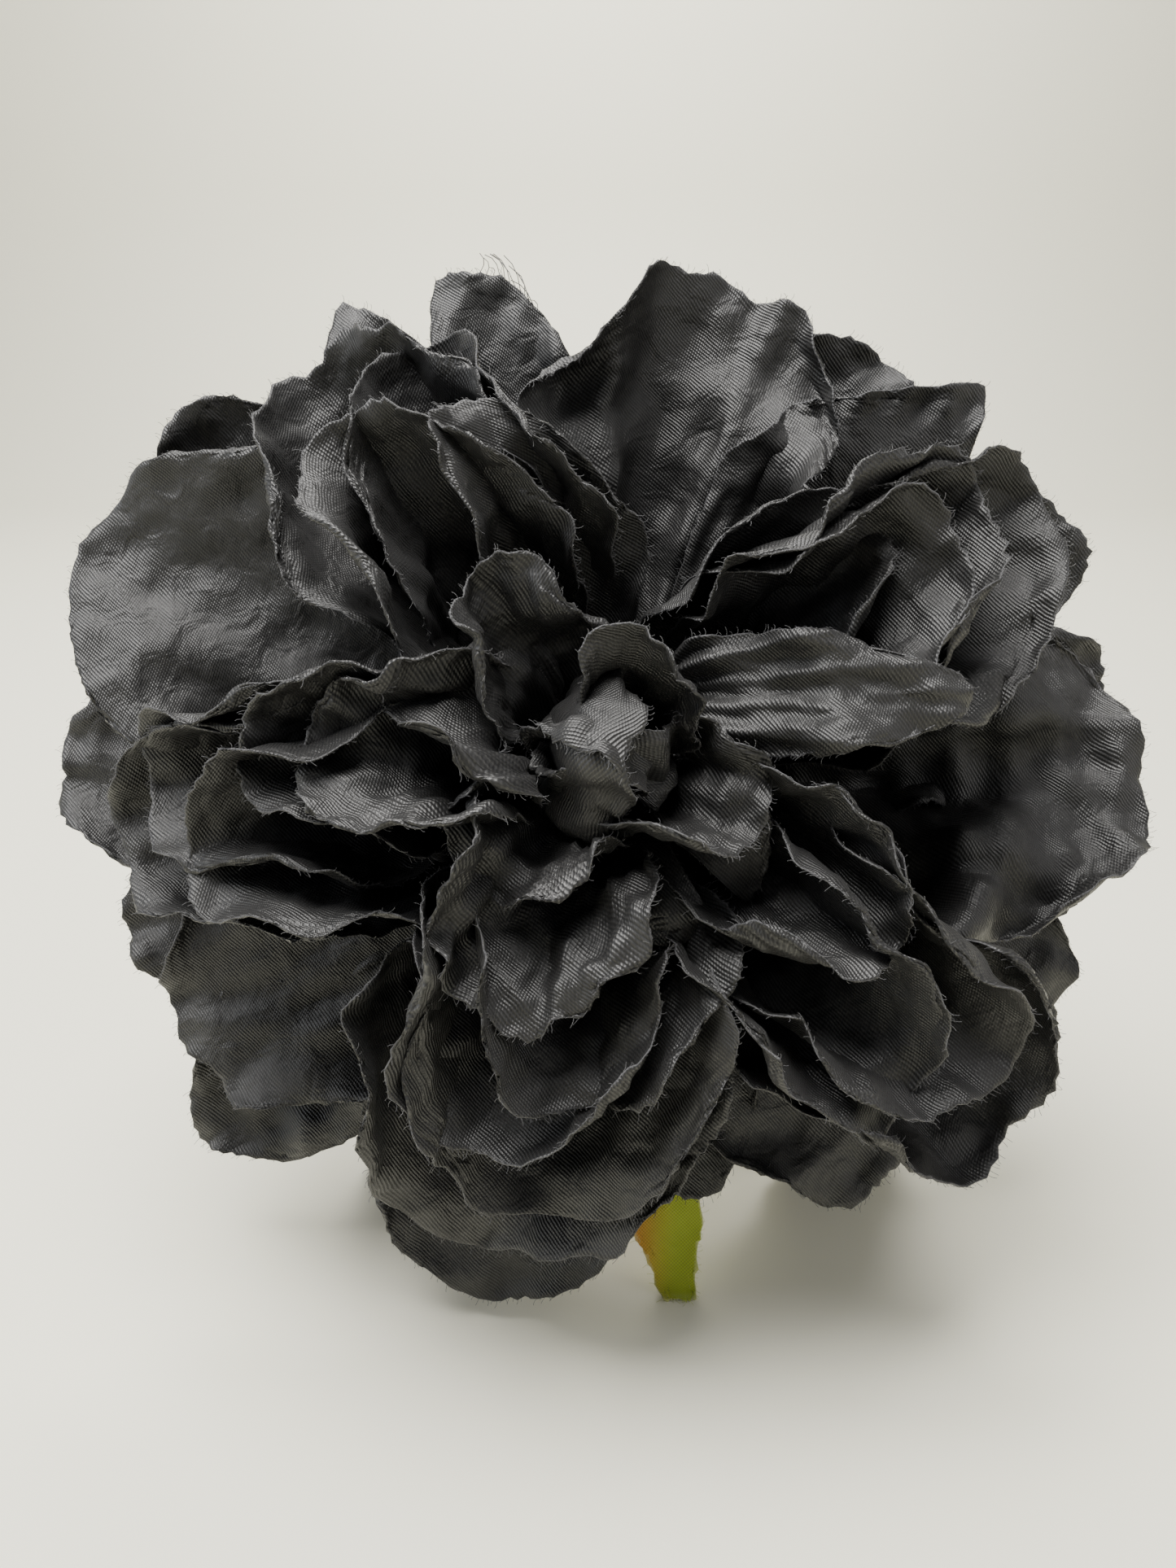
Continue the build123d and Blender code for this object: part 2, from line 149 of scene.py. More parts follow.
def pose_petal(p, height):
    """The petal's grid in the row frame, in millimetres, with its flat cut and edge distance."""
    u, v, x, y, edge = cut_outline(p)
    length, width, seed = p["length"], p["width"], p["seed"]
    steps = np.linspace(-0.02, 1.1, 240) * length
    stem, middle, tip = np.radians(p["rise"])
    share = steps / length
    slope = np.where(
        share < 0.5,
        stem + (middle - stem) * smooth(share * 2),
        middle + (tip - middle) * smooth(share * 2 - 1),
    )
    slope = slope + math.radians(p["curl"]) * smooth((share - 0.72) / 0.3)
    pace = np.diff(steps, prepend=steps[0])
    reach = np.cumsum(np.cos(slope) * pace)
    climb = np.cumsum(np.sin(slope) * pace)
    reach -= np.interp(0, steps, reach)
    climb -= np.interp(0, steps, climb)
    rho = p["start"] + np.interp(y, steps, reach)
    up = height + p["lift"] + np.interp(y, steps, climb)
    pitch = np.interp(y, steps, slope)

    # Across the petal: the cloth turns up by the cup and back out by the flare
    out = np.abs(x) / width
    left = x < 0
    cup = np.where(left, p["cup"][0], p["cup"][1])
    flare = np.where(left, p["flare"][0], p["flare"][1])
    bend = (1 - np.exp(-out / p["tight"])) / (1 - math.exp(-1 / p["tight"]))
    open_up = 0.55 + 0.45 * smooth(y / length / 0.5)
    turn = np.radians(cup * bend * open_up - flare * smooth((out - 0.55) / 0.5))
    turn = turn + 0.15 * p["crumple"] * folds(x, y, seed + 1, 20, 4)
    turn = turn * np.sign(x)
    middle_column = x.shape[1] // 2
    lateral, raised = np.zeros_like(x), np.zeros_like(x)
    for direction in (1, -1):
        column = middle_column
        while 0 <= column + direction < x.shape[1]:
            step = x[:, column + direction] - x[:, column]
            angle = (turn[:, column + direction] + turn[:, column]) / 2
            lateral[:, column + direction] = lateral[:, column] + np.cos(angle) * step
            raised[:, column + direction] = raised[:, column] + np.sin(angle) * step
            column += direction

    # Out of the cloth's own surface: ruffled edges, pleats from the stem, crumples
    side = np.where(left, 1.3, 0.0)
    rim = smooth(1 - edge / (0.42 * width))
    ruffle = p["ruffle"] * rim**1.6 * (
        0.6 * np.sin(y * 0.36 + seed * 1.7 + side * 2)
        + 0.5 * folds(x, y, seed + 2, 17, 4)
        + 0.34 * folds(x, y, seed + 8, 7.5, 5)
    )
    fan = np.arctan2(x, y + 6)
    ridge = np.sin(fan * p["pleat_rate"] + seed)
    pleats = p["pleats"] * (1 - 2 * np.abs(ridge) ** 0.8) * smooth(y / 20) * (1 - 0.45 * smooth(y / length))
    crumples = 0.36 * folds(x, y, seed + 3, 14, 5, True) + 0.12 * folds(x, y, seed + 4, 6.5, 6, True)
    crumples = crumples + 0.42 * folds(fan * 34, y * 0.16, seed + 6, 8, 4)
    crumples = crumples + 0.24 * folds(fan * 40, y * 0.3, seed + 9, 7, 5, True)
    out_of = ruffle + pleats + p["crumple"] * crumples * smooth(y / (0.25 * length))
    lateral = lateral - np.sin(turn) * out_of
    raised = raised + np.cos(turn) * out_of

    lateral = lateral + p["shift"] * smooth(y / length / 0.35)
    spin = np.radians(p["twist"]) * smooth(y / length)
    lateral, raised = (
        lateral * np.cos(spin) - raised * np.sin(spin),
        lateral * np.sin(spin) + raised * np.cos(spin),
    )
    azimuth = np.radians(p["azimuth"] + p["sweep"] * (y / length) ** 2)[..., None]
    outward = np.sin(azimuth) * RIGHT + np.cos(azimuth) * UP
    across = np.cos(azimuth) * RIGHT - np.sin(azimuth) * UP
    pitch = pitch[..., None]
    normal = np.cos(pitch) * FACE - np.sin(pitch) * outward
    place = CENTRE + outward * rho[..., None] + FACE * up[..., None]
    place = place + across * lateral[..., None] + normal * raised[..., None]
    place[..., 2] = FLOOR_GAP + np.logaddexp(0, (place[..., 2] - FLOOR_GAP) / 0.5) * 0.5
    heading = math.radians(p["azimuth"])
    radial = y + p["start"]
    flat = np.stack(
        [
            x * math.cos(heading) + radial * math.sin(heading),
            radial * math.cos(heading) - x * math.sin(heading),
        ],
        -1,
    )
    return place, flat, edge


def hub(radius, height, bore=2.6):
    """The middle of a sheet, where its petals meet round the stem."""
    r, a = np.meshgrid(np.linspace(bore, radius, 3), np.linspace(0, 2 * math.pi, 33), indexing="ij")
    spot = r[..., None] * (np.cos(a)[..., None] * RIGHT + np.sin(a)[..., None] * UP)
    place = CENTRE + spot + FACE * height
    flat = np.stack([r * np.cos(a), r * np.sin(a)], -1)
    return place[:, ::-1], flat[:, ::-1], np.full(r.shape, 9.0)


class Sheet:
    """One die-cut sheet, gathered grid by grid and given its thickness."""

    def __init__(self):
        self.points, self.faces, self.flat, self.edge = [], [], [], []
        self.rims = []
        self.area = 0.0
        self.count = 0

    def add(self, place, flat, edge, thickness):
        """Adds one grid with a front, a back and a rim all round."""
        rows, columns = place.shape[:2]
        along = np.gradient(place, axis=0)
        across = np.gradient(place, axis=1)
        normal = np.cross(across, along)
        normal /= np.maximum(np.linalg.norm(normal, axis=-1, keepdims=True), 1e-9)
        half = np.minimum(thickness / 2, 0.06 + edge * 0.5)[..., None]
        index = np.arange(rows * columns).reshape(rows, columns) + self.count
        front = np.stack([index[:-1, :-1], index[:-1, 1:], index[1:, 1:], index[1:, :-1]], -1)
        back = front[..., ::-1] + rows * columns
        ring = np.concatenate(
            [index[0, :-1], index[:-1, -1], index[-1, :0:-1], index[:0:-1, 0]]
        )
        after = np.roll(ring, -1)
        wall = np.stack([after, ring, ring + rows * columns, after + rows * columns], -1)
        self.points += [(place + normal * half).reshape(-1, 3), (place - normal * half).reshape(-1, 3)]
        self.flat += [flat.reshape(-1, 2)] * 2
        self.edge += [edge.reshape(-1)] * 2
        self.faces += [front.reshape(-1, 4), back.reshape(-1, 4), wall]
        self.count += 2 * rows * columns
        cell = flat[1:, 1:] - flat[:-1, :-1]
        other = flat[:-1, 1:] - flat[1:, :-1]
        self.area += 0.5 * np.abs(cell[..., 0] * other[..., 1] - cell[..., 1] * other[..., 0]).sum()

    def add_rim(self, place, skip):
        """Remembers the cut edge of a petal and which way is out of the cloth there."""
        sides = [place[skip:, 0], place[-1, 1:-1], place[::-1, -1][: place.shape[0] - skip]]
        inner = [place[skip:, 2], place[-3, 1:-1], place[::-1, -3][: place.shape[0] - skip]]
        line, inside = np.concatenate(sides), np.concatenate(inner)
        out = line - inside
        out /= np.maximum(np.linalg.norm(out, axis=-1, keepdims=True), 1e-9)
        self.rims.append((line, out))

    def mesh(self, name):
        """The sheet as a mesh in metres, with its cut as a UV map."""
        mesh = bpy.data.meshes.new(name)
        points = np.concatenate(self.points) * MM
        faces = np.concatenate(self.faces)
        mesh.vertices.add(len(points))
        mesh.vertices.foreach_set("co", points.astype(np.float32).ravel())
        mesh.loops.add(faces.size)
        mesh.loops.foreach_set("vertex_index", faces.astype(np.int32).ravel())
        mesh.polygons.add(len(faces))
        mesh.polygons.foreach_set("loop_start", np.arange(0, faces.size, 4, dtype=np.int32))
        mesh.update(calc_edges=True)
        flat = np.concatenate(self.flat) / CLOTH_SPAN + 0.5
        uv = mesh.uv_layers.new(name="cut")
        uv.data.foreach_set("uv", flat[faces.ravel()].astype(np.float32).ravel())
        edge = mesh.attributes.new("cut_edge", "FLOAT", "POINT")
        edge.data.foreach_set("value", np.concatenate(self.edge).astype(np.float32))
        mesh.polygons.foreach_set("use_smooth", [True] * len(faces))
        mesh.validate()
        return mesh


def new_object(name, mesh, material):
    """A finished piece at the origin, with one material."""
    made = bpy.data.objects.new(name, mesh)
    bpy.context.scene.collection.objects.link(made)
    mesh.materials.clear()
    mesh.materials.append(material)
    return made


def plain_mesh(thing, name):
    """The evaluated shape of an object as a plain mesh, and the object gone."""
    graph = bpy.context.evaluated_depsgraph_get()
    mesh = bpy.data.meshes.new_from_object(thing.evaluated_get(graph))
    mesh.name = name
    bpy.data.objects.remove(thing)
    return mesh


# Geometry node trees ---------------------------------------------------------------------------


def tree_input(tree, name, kind, default=None):
    """A named input on a node tree."""
    socket = tree.interface.new_socket(name, in_out="INPUT", socket_type=kind)
    if default is not None:
        socket.default_value = default
    return socket


def wire(tree, source, target):
    tree.links.new(source, target)


def wire_all(tree, links):
    """Joins many sockets: a link is (source node, output, target node, input)."""
    for source, output, target, entry in links:
        wire(tree, source.outputs[output], target.inputs[entry])


def preset(node, values):
    """Sets inputs of a node that nothing is joined to."""
    for key, value in values.items():
        node.inputs[key].default_value = value


def tree_inputs(tree, rows):
    """Adds many inputs to a group: a row is (name, socket kind, optional value)."""
    for name, kind, *value in rows:
        tree_input(tree, name, "NodeSocket" + kind, *value)


def frayed_thread_tree():
    """Short loose threads that stand out of a cut edge."""
    tree = bpy.data.node_groups.new("frayed_threads", "GeometryNodeTree")
    tree_inputs(tree, [
        ("Geometry", "Geometry"), ("Spacing", "Float", 0.0005), ("Length", "Float", 0.0008),
        ("Radius", "Float", 0.00003), ("Stray", "Float", 0.5), ("Seed", "Int", 0),
        ("Material", "Material"),
    ])
    tree.interface.new_socket("Geometry", in_out="OUTPUT", socket_type="NodeSocketGeometry")
    nodes = tree.nodes
    given = nodes.new("NodeGroupInput")
    result = nodes.new("NodeGroupOutput")
    to_curve = nodes.new("GeometryNodeMeshToCurve")
    resample = nodes.new("GeometryNodeResampleCurve")
    resample.mode = "LENGTH"
    out = nodes.new("GeometryNodeInputNamedAttribute")
    out.data_type = "FLOAT_VECTOR"
    preset(out, {"Name": "outward"})
    stray = nodes.new("FunctionNodeRandomValue")
    stray.data_type = "FLOAT_VECTOR"
    preset(stray, {"Min": (-1, -1, -1), "Max": (1, 1, 1)})
    scaled = nodes.new("ShaderNodeVectorMath")
    scaled.operation = "SCALE"
    summed = nodes.new("ShaderNodeVectorMath")
    summed.operation = "ADD"
    align = nodes.new("FunctionNodeAlignRotationToVector")
    align.axis = "Z"
    size = nodes.new("FunctionNodeRandomValue")
    size.data_type = "FLOAT"
    preset(size, {2: 0.25, 3: 1.5})
    stretch = nodes.new("ShaderNodeCombineXYZ")
    preset(stretch, {0: 1, 1: 1})
    thread = nodes.new("GeometryNodeCurveQuadraticBezier")
    preset(thread, {"Resolution": 3})
    middle = nodes.new("ShaderNodeCombineXYZ")
    end = nodes.new("ShaderNodeCombineXYZ")
    bow = nodes.new("ShaderNodeMath")
    bow.operation = "MULTIPLY"
    preset(bow, {1: 0.3})
    half = nodes.new("ShaderNodeMath")
    half.operation = "MULTIPLY"
    preset(half, {1: 0.6})
    ring = nodes.new("GeometryNodeCurvePrimitiveCircle")
    preset(ring, {"Resolution": 3})
    tube = nodes.new("GeometryNodeCurveToMesh")
    place = nodes.new("GeometryNodeInstanceOnPoints")
    realize = nodes.new("GeometryNodeRealizeInstances")
    finish = nodes.new("GeometryNodeSetMaterial")
    wire_all(tree, [
        (given, "Geometry", to_curve, 0), (to_curve, 0, resample, "Curve"),
        (given, "Spacing", resample, "Length"), (resample, 0, place, "Points"),
        (given, "Seed", stray, "Seed"), (stray, 0, scaled, 0), (given, "Stray", scaled, "Scale"),
        (out, 0, summed, 0), (scaled, 0, summed, 1), (summed, 0, align, "Vector"),
        (align, 0, place, "Rotation"), (given, "Seed", size, "Seed"), (size, 1, stretch, 2),
        (stretch, 0, place, "Scale"), (given, "Length", bow, 0), (given, "Length", half, 0),
        (bow, 0, middle, 0), (half, 0, middle, 2), (given, "Length", end, 2),
        (middle, 0, thread, "Middle"), (end, 0, thread, "End"),
    ])
    preset(thread, {"Start": (0, 0, 0)})
    wire_all(tree, [
        (given, "Radius", ring, "Radius"), (thread, 0, tube, "Curve"), (ring, 0, tube, "Profile Curve"),
        (tube, 0, place, "Instance"), (place, 0, realize, 0), (realize, 0, finish, "Geometry"),
        (given, "Material", finish, "Material"), (finish, 0, result, 0),
    ])
    return tree


def apply_tree(thing, tree, values):
    """Gives an object a node tree with its inputs set by name."""
    modifier = thing.modifiers.new(tree.name, "NODES")
    modifier.node_group = tree
    keys = {item.name: item.identifier for item in tree.interface.items_tree if item.in_out == "INPUT"}
    for name, value in values.items():
        modifier[keys[name]] = value


def fray(name, rims, material, spacing, length, radius, stray, seed):
    """Loose threads along the cut edges of a sheet, as one plain mesh."""
    mesh = bpy.data.meshes.new(name)
    points = np.concatenate([line for line, _ in rims]) * MM
    outward = np.concatenate([out for _, out in rims])
    edges, start = [], 0
    for line, _ in rims:
        edges += [(start + i, start + i + 1) for i in range(len(line) - 1)]
        start += len(line)
    mesh.from_pydata(points.tolist(), edges, [])
    attribute = mesh.attributes.new("outward", "FLOAT_VECTOR", "POINT")
    attribute.data.foreach_set("vector", outward.astype(np.float32).ravel())
    seedling = bpy.data.objects.new(name + "_edges", mesh)
    bpy.context.scene.collection.objects.link(seedling)
    tree = bpy.data.node_groups.get("frayed_threads") or frayed_thread_tree()
    values = {
        "Spacing": spacing, "Length": length, "Radius": radius, "Stray": stray, "Seed": seed,
        "Material": material,
    }
    apply_tree(seedling, tree, values)
    threads = plain_mesh(seedling, name)
    spots = np.empty(len(threads.vertices) * 3, dtype=np.float32)
    threads.vertices.foreach_get("co", spots)
    spots[2::3] = np.maximum(spots[2::3], radius)
    threads.vertices.foreach_set("co", spots)
    return new_object(name, threads, material)


# Shader node groups -------------------------------------------------------------------------------


def new_group(name, inputs, outputs):
    """An empty shader node group with named sockets."""
    group = bpy.data.node_groups.new(name, "ShaderNodeTree")
    for label, kind, default in inputs:
        tree_input(group, label, kind, default)
    for label, kind in outputs:
        group.interface.new_socket(label, in_out="OUTPUT", socket_type=kind)
    return group, group.nodes.new("NodeGroupInput"), group.nodes.new("NodeGroupOutput")


def maths(tree, operation, *values):
    """A Math node fed with numbers or sockets, and its output."""
    node = tree.nodes.new("ShaderNodeMath")
    node.operation = operation
    for index, value in enumerate(values):
        if isinstance(value, bpy.types.NodeSocket):
            wire(tree, value, node.inputs[index])
        else:
            node.inputs[index].default_value = value
    return node.outputs[0]


def blend_colours(tree, share, first, second):
    """A colour mix, and its output."""
    node = tree.nodes.new("ShaderNodeMix")
    node.data_type = "RGBA"
    for socket, value in ((node.inputs[0], share), (node.inputs[6], first), (node.inputs[7], second)):
        if isinstance(value, bpy.types.NodeSocket):
            wire(tree, value, socket)
        else:
            socket.default_value = value
    return node.outputs[2]


def cloth_weave_group():
    """Diagonal twill ribs with the fine threads that cross them."""
    group, given, result = new_group(
        "cloth_weave",
        [
            ("Vector", "NodeSocketVector", None),
            ("Rib Pitch", "NodeSocketFloat", 0.55),
            ("Thread Pitch", "NodeSocketFloat", 0.28),
        ],
        [("Height", "NodeSocketFloat"), ("Rib", "NodeSocketFloat")],
    )
    warp = group.nodes.new("ShaderNodeTexNoise")
    preset(warp, {"Scale": 0.12, "Detail": 2})
    split = group.nodes.new("ShaderNodeSeparateXYZ")
    wire(group, given.outputs["Vector"], warp.inputs["Vector"])
    wire(group, given.outputs["Vector"], split.inputs[0])
    drift = maths(group, "MULTIPLY", warp.outputs[0], 1.6)
    diagonal = maths(group, "ADD", maths(group, "ADD", split.outputs[0], split.outputs[1]), drift)
    rate = maths(group, "DIVIDE", 2 * math.pi, given.outputs["Rib Pitch"])
    rib = maths(group, "SINE", maths(group, "MULTIPLY", diagonal, rate))
    counter = maths(group, "SUBTRACT", split.outputs[0], maths(group, "MULTIPLY", split.outputs[1], 0.35))
    fine = maths(group, "DIVIDE", 2 * math.pi, given.outputs["Thread Pitch"])
    thread = maths(group, "SINE", maths(group, "MULTIPLY", counter, fine))
    both = maths(group, "ADD", maths(group, "MULTIPLY", rib, 0.7), maths(group, "MULTIPLY", thread, 0.3))
    wire(group, maths(group, "MULTIPLY_ADD", both, 0.5, 0.5), result.inputs["Height"])
    wire(group, maths(group, "MULTIPLY_ADD", rib, 0.5, 0.5), result.inputs["Rib"])
    return group


def plain_weave_group():
    """Over-and-under threads of a plain weave."""
    group, given, result = new_group(
        "plain_weave",
        [("Vector", "NodeSocketVector", None), ("Pitch", "NodeSocketFloat", 0.42)],
        [("Height", "NodeSocketFloat")],
    )
    split = group.nodes.new("ShaderNodeSeparateXYZ")
    wire(group, given.outputs["Vector"], split.inputs[0])
    rate = maths(group, "DIVIDE", 2 * math.pi, given.outputs["Pitch"])
    first = maths(group, "SINE", maths(group, "MULTIPLY", split.outputs[0], rate))
    second = maths(group, "SINE", maths(group, "MULTIPLY", split.outputs[1], rate))
    wire(group, maths(group, "MULTIPLY_ADD", maths(group, "MULTIPLY", first, second), 0.5, 0.5),
         result.inputs["Height"])
    return group


def cut_edge_group():
    """A mask that is 1 in the frayed threads at a cut edge and 0 inside the cloth."""
    group, given, result = new_group(
        "cut_edge_mask",
        [
            ("Vector", "NodeSocketVector", None),
            ("Distance", "NodeSocketFloat", 0.0),
            ("Width", "NodeSocketFloat", 0.5),
        ],
        [("Mask", "NodeSocketFloat")],
    )
    noise = group.nodes.new("ShaderNodeTexNoise")
    preset(noise, {"Scale": 2.2, "Detail": 3})
    wire(group, given.outputs["Vector"], noise.inputs["Vector"])
    uneven = maths(group, "MULTIPLY_ADD", noise.outputs[0], 2.2, -0.2)
    reach = maths(group, "MULTIPLY", given.outputs["Width"], uneven)
    ramp = group.nodes.new("ShaderNodeMapRange")
    ramp.interpolation_type = "SMOOTHSTEP"
    wire(group, given.outputs["Distance"], ramp.inputs["Value"])
    wire(group, reach, ramp.inputs["From Max"])
    preset(ramp, {"To Min": 1, "To Max": 0})
    wire(group, ramp.outputs[0], result.inputs["Mask"])
    return group


def use_group(tree, name, values):
    """Places a shared group in a material, with its own values."""
    makers = {
        "cloth_weave": cloth_weave_group, "plain_weave": plain_weave_group,
        "cut_edge_mask": cut_edge_group, "surface_wear": surface_wear_group,
    }
    node = tree.nodes.new("ShaderNodeGroup")
    node.node_tree = bpy.data.node_groups.get(name) or makers[name]()
    for label, value in values.items():
        if isinstance(value, bpy.types.NodeSocket):
            wire(tree, value, node.inputs[label])
        else:
            node.inputs[label].default_value = value
    return node


def surface_wear_group():
    """Brushed grain and soft smudges on metal and plastic."""
    group, given, result = new_group(
        "surface_wear",
        [
            ("Vector", "NodeSocketVector", None),
            ("Grain", "NodeSocketFloat", 900.0),
            ("Stretch", "NodeSocketVector", (0.05, 1.0, 1.0)),
        ],
        [("Grain", "NodeSocketFloat"), ("Smudge", "NodeSocketFloat")],
    )
    stretched = group.nodes.new("ShaderNodeVectorMath")
    stretched.operation = "MULTIPLY"
    wire(group, given.outputs["Vector"], stretched.inputs[0])
    wire(group, given.outputs["Stretch"], stretched.inputs[1])
    grain = group.nodes.new("ShaderNodeTexNoise")
    preset(grain, {"Detail": 4})
    wire(group, stretched.outputs[0], grain.inputs["Vector"])
    wire(group, given.outputs["Grain"], grain.inputs["Scale"])
    smudge = group.nodes.new("ShaderNodeTexNoise")
    preset(smudge, {"Scale": 160, "Detail": 3})
    wire_all(group, [
        (given, "Vector", smudge, "Vector"), (grain, 0, result, "Grain"), (smudge, 0, result, "Smudge"),
    ])
    return group


def new_material(name):
    """A material with a Principled shader, its tree and the shader."""
    made = bpy.data.materials.get(name) or bpy.data.materials.new(name)
    made.use_nodes = True
    tree = made.node_tree
    tree.nodes.clear()
    shader = tree.nodes.new("ShaderNodeBsdfPrincipled")
    output = tree.nodes.new("ShaderNodeOutputMaterial")
    wire(tree, shader.outputs[0], output.inputs["Surface"])
    return made, tree, shader


def bump(tree, shader, height, strength, distance):
    """Surface relief from a height."""
    node = tree.nodes.new("ShaderNodeBump")
    node.inputs["Strength"].default_value = strength
    node.inputs["Distance"].default_value = distance
    wire(tree, height, node.inputs["Height"])
    wire(tree, node.outputs[0], shader.inputs["Normal"])


def cloth_coordinates(tree):
    """Positions on the flat cloth in millimetres."""
    uv = tree.nodes.new("ShaderNodeUVMap")
    uv.uv_map = "cut"
    scale = tree.nodes.new("ShaderNodeMapping")
    preset(scale, {"Scale": (CLOTH_SPAN, CLOTH_SPAN, CLOTH_SPAN)})
    wire(tree, uv.outputs[0], scale.inputs["Vector"])
    return scale.outputs[0]


def satin(settings):
    """Black polyester satin: a soft twill with a painted glint on its float threads, broad dull highlights,
    and pale cut edges that are partly frayed threads and partly a painted highlight.
    """
    made, tree, shader = new_material("petal_satin")
    place = cloth_coordinates(tree)
    weave = use_group(tree, "cloth_weave", {"Vector": place, "Rib Pitch": settings.rib_pitch / MM})
    edge = tree.nodes.new("ShaderNodeAttribute")
    edge.attribute_name = "cut_edge"
    cut = use_group(tree, "cut_edge_mask", {"Vector": place, "Distance": edge.outputs["Fac"], "Width": 0.16})
    cloud = tree.nodes.new("ShaderNodeTexNoise")
    preset(cloud, {"Scale": 0.05, "Detail": 4})
    wire(tree, place, cloud.inputs["Vector"])
    deep = (*settings.satin_colour, 1)
    worn = (*[c * 2.6 for c in settings.satin_colour], 1)
    ground = blend_colours(tree, cloud.outputs[0], deep, worn)
    # Painted glint: the twill's float threads are coloured lighter than the gaps, standing in for the light
    # they catch.
    glint_share = maths(tree, "POWER", weave.outputs["Height"], 2.2)
    with_painted_glint = blend_colours(
        tree, maths(tree, "MULTIPLY", glint_share, 0.85), ground, (*settings.painted_glint_colour, 1)
    )
    # Painted highlight: the cut edges are coloured paler, partly for the frayed threads there and partly for
    # the light the edges catch.
    coloured = blend_colours(
        tree, maths(tree, "MULTIPLY", cut.outputs[0], 0.6), with_painted_glint, (*settings.thread_and_edge_highlight_colour, 1)
    )
    wire(tree, coloured, shader.inputs["Base Color"])
    dull = maths(tree, "MULTIPLY_ADD", weave.outputs["Height"], -0.20, 0.58)
    wire(tree, maths(tree, "MULTIPLY_ADD", cut.outputs[0], 0.2, dull), shader.inputs["Roughness"])
    preset(shader, {"Specular IOR Level": 0.5, "Sheen Weight": 0.03, "Sheen Roughness": 0.4})
    creases = tree.nodes.new("ShaderNodeTexNoise")
    preset(creases, {"Scale": 0.3, "Detail": 3, "Distortion": 0.8})
    wire(tree, place, creases.inputs["Vector"])
    relief = maths(tree, "MULTIPLY_ADD", creases.outputs[0], 7.0, weave.outputs["Height"])
    bump(tree, shader, relief, 0.7, 0.0001)
    return made


def thread_material(settings):
    """The pale fluff of frayed polyester."""
    made, tree, shader = new_material("frayed_thread")
    where = tree.nodes.new("ShaderNodeTexCoord")
    noise = tree.nodes.new("ShaderNodeTexNoise")
    preset(noise, {"Scale": 400})
    wire(tree, where.outputs["Object"], noise.inputs["Vector"])
    dark = (*[c * 0.35 for c in settings.thread_and_edge_highlight_colour], 1)
    wire(tree, blend_colours(tree, noise.outputs[0], dark, (*settings.thread_and_edge_highlight_colour, 1)),
         shader.inputs["Base Color"])
    preset(shader, {"Roughness": 0.7, "Sheen Weight": 0.2})
    return made


def leaf_cloth(settings):
    """Plain-woven polyester, dyed from lime green to orange."""
    made, tree, shader = new_material("leaf_cloth")
    place = cloth_coordinates(tree)
    weave = use_group(tree, "plain_weave", {"Vector": place, "Pitch": 0.42})
    drift = tree.nodes.new("ShaderNodeTexNoise")
    preset(drift, {"Scale": 0.06, "Detail": 2})
    wire(tree, place, drift.inputs["Vector"])
    split = tree.nodes.new("ShaderNodeSeparateXYZ")
    wire(tree, place, split.inputs[0])
    across = maths(tree, "MULTIPLY_ADD", split.outputs[0], -0.18, (CLOTH_SPAN * 0.5 + 6.5) * 0.18)
    across = maths(tree, "MULTIPLY_ADD", maths(tree, "SINE", across), 0.7, 0.42)
    share = maths(tree, "ADD", across, maths(tree, "MULTIPLY_ADD", drift.outputs[0], 0.9, -0.45))
    ramp = tree.nodes.new("ShaderNodeMapRange")
    ramp.interpolation_type = "SMOOTHSTEP"
    wire(tree, share, ramp.inputs["Value"])
    dyed = blend_colours(tree, ramp.outputs[0], (*settings.leaf_green, 1), (*settings.leaf_orange, 1))
    gaps = maths(tree, "MULTIPLY_ADD", weave.outputs[0], -0.45, 0.45)
    shade = blend_colours(tree, gaps, dyed, (0.03, 0.035, 0.004, 1))
    edge = tree.nodes.new("ShaderNodeAttribute")
    edge.attribute_name = "cut_edge"
    cut = use_group(tree, "cut_edge_mask", {"Vector": place, "Distance": edge.outputs["Fac"], "Width": 0.3})
    frayed = maths(tree, "MULTIPLY", cut.outputs[0], 0.5)
    wire(tree, blend_colours(tree, frayed, shade, (0.62, 0.62, 0.32, 1)), shader.inputs["Base Color"])
    preset(shader, {"Roughness": 0.62, "Sheen Weight": 0.25})
    bump(tree, shader, weave.outputs[0], 0.6, 0.00012)
    return made


def felt(settings):
    """Pressed black felt."""
    made, tree, shader = new_material("black_felt")
    where = tree.nodes.new("ShaderNodeTexCoord")
    fluff = tree.nodes.new("ShaderNodeTexNoise")
    preset(fluff, {"Scale": 1800, "Detail": 6})
    wire(tree, where.outputs["Object"], fluff.inputs["Vector"])
    wire(tree, blend_colours(tree, fluff.outputs[0], (0.004, 0.004, 0.004, 1), (0.020, 0.020, 0.021, 1)),
         shader.inputs["Base Color"])
    shader.inputs["Roughness"].default_value = 0.95
    preset(shader, {"Specular IOR Level": 0.15, "Sheen Weight": 0.05, "Sheen Roughness": 0.6})
    bump(tree, shader, fluff.outputs[0], 0.7, 0.0003)
    return made


def steel(name, colour, roughness, stretch):
    """Plated steel with a fine drawn grain."""
    made, tree, shader = new_material(name)
    where = tree.nodes.new("ShaderNodeTexCoord")
    wear = use_group(tree, "surface_wear", {"Vector": where.outputs["Object"], "Stretch": stretch})
    dark = (*[c * 0.72 for c in colour], 1)
    wire(tree, blend_colours(tree, wear.outputs["Smudge"], dark, (*colour, 1)), shader.inputs["Base Color"])
    wire(tree, maths(tree, "MULTIPLY_ADD", wear.outputs["Grain"], 0.3, roughness - 0.12),
         shader.inputs["Roughness"])
    preset(shader, {"Metallic": 1})
    bump(tree, shader, wear.outputs["Grain"], 0.08, 0.00004)
    return made


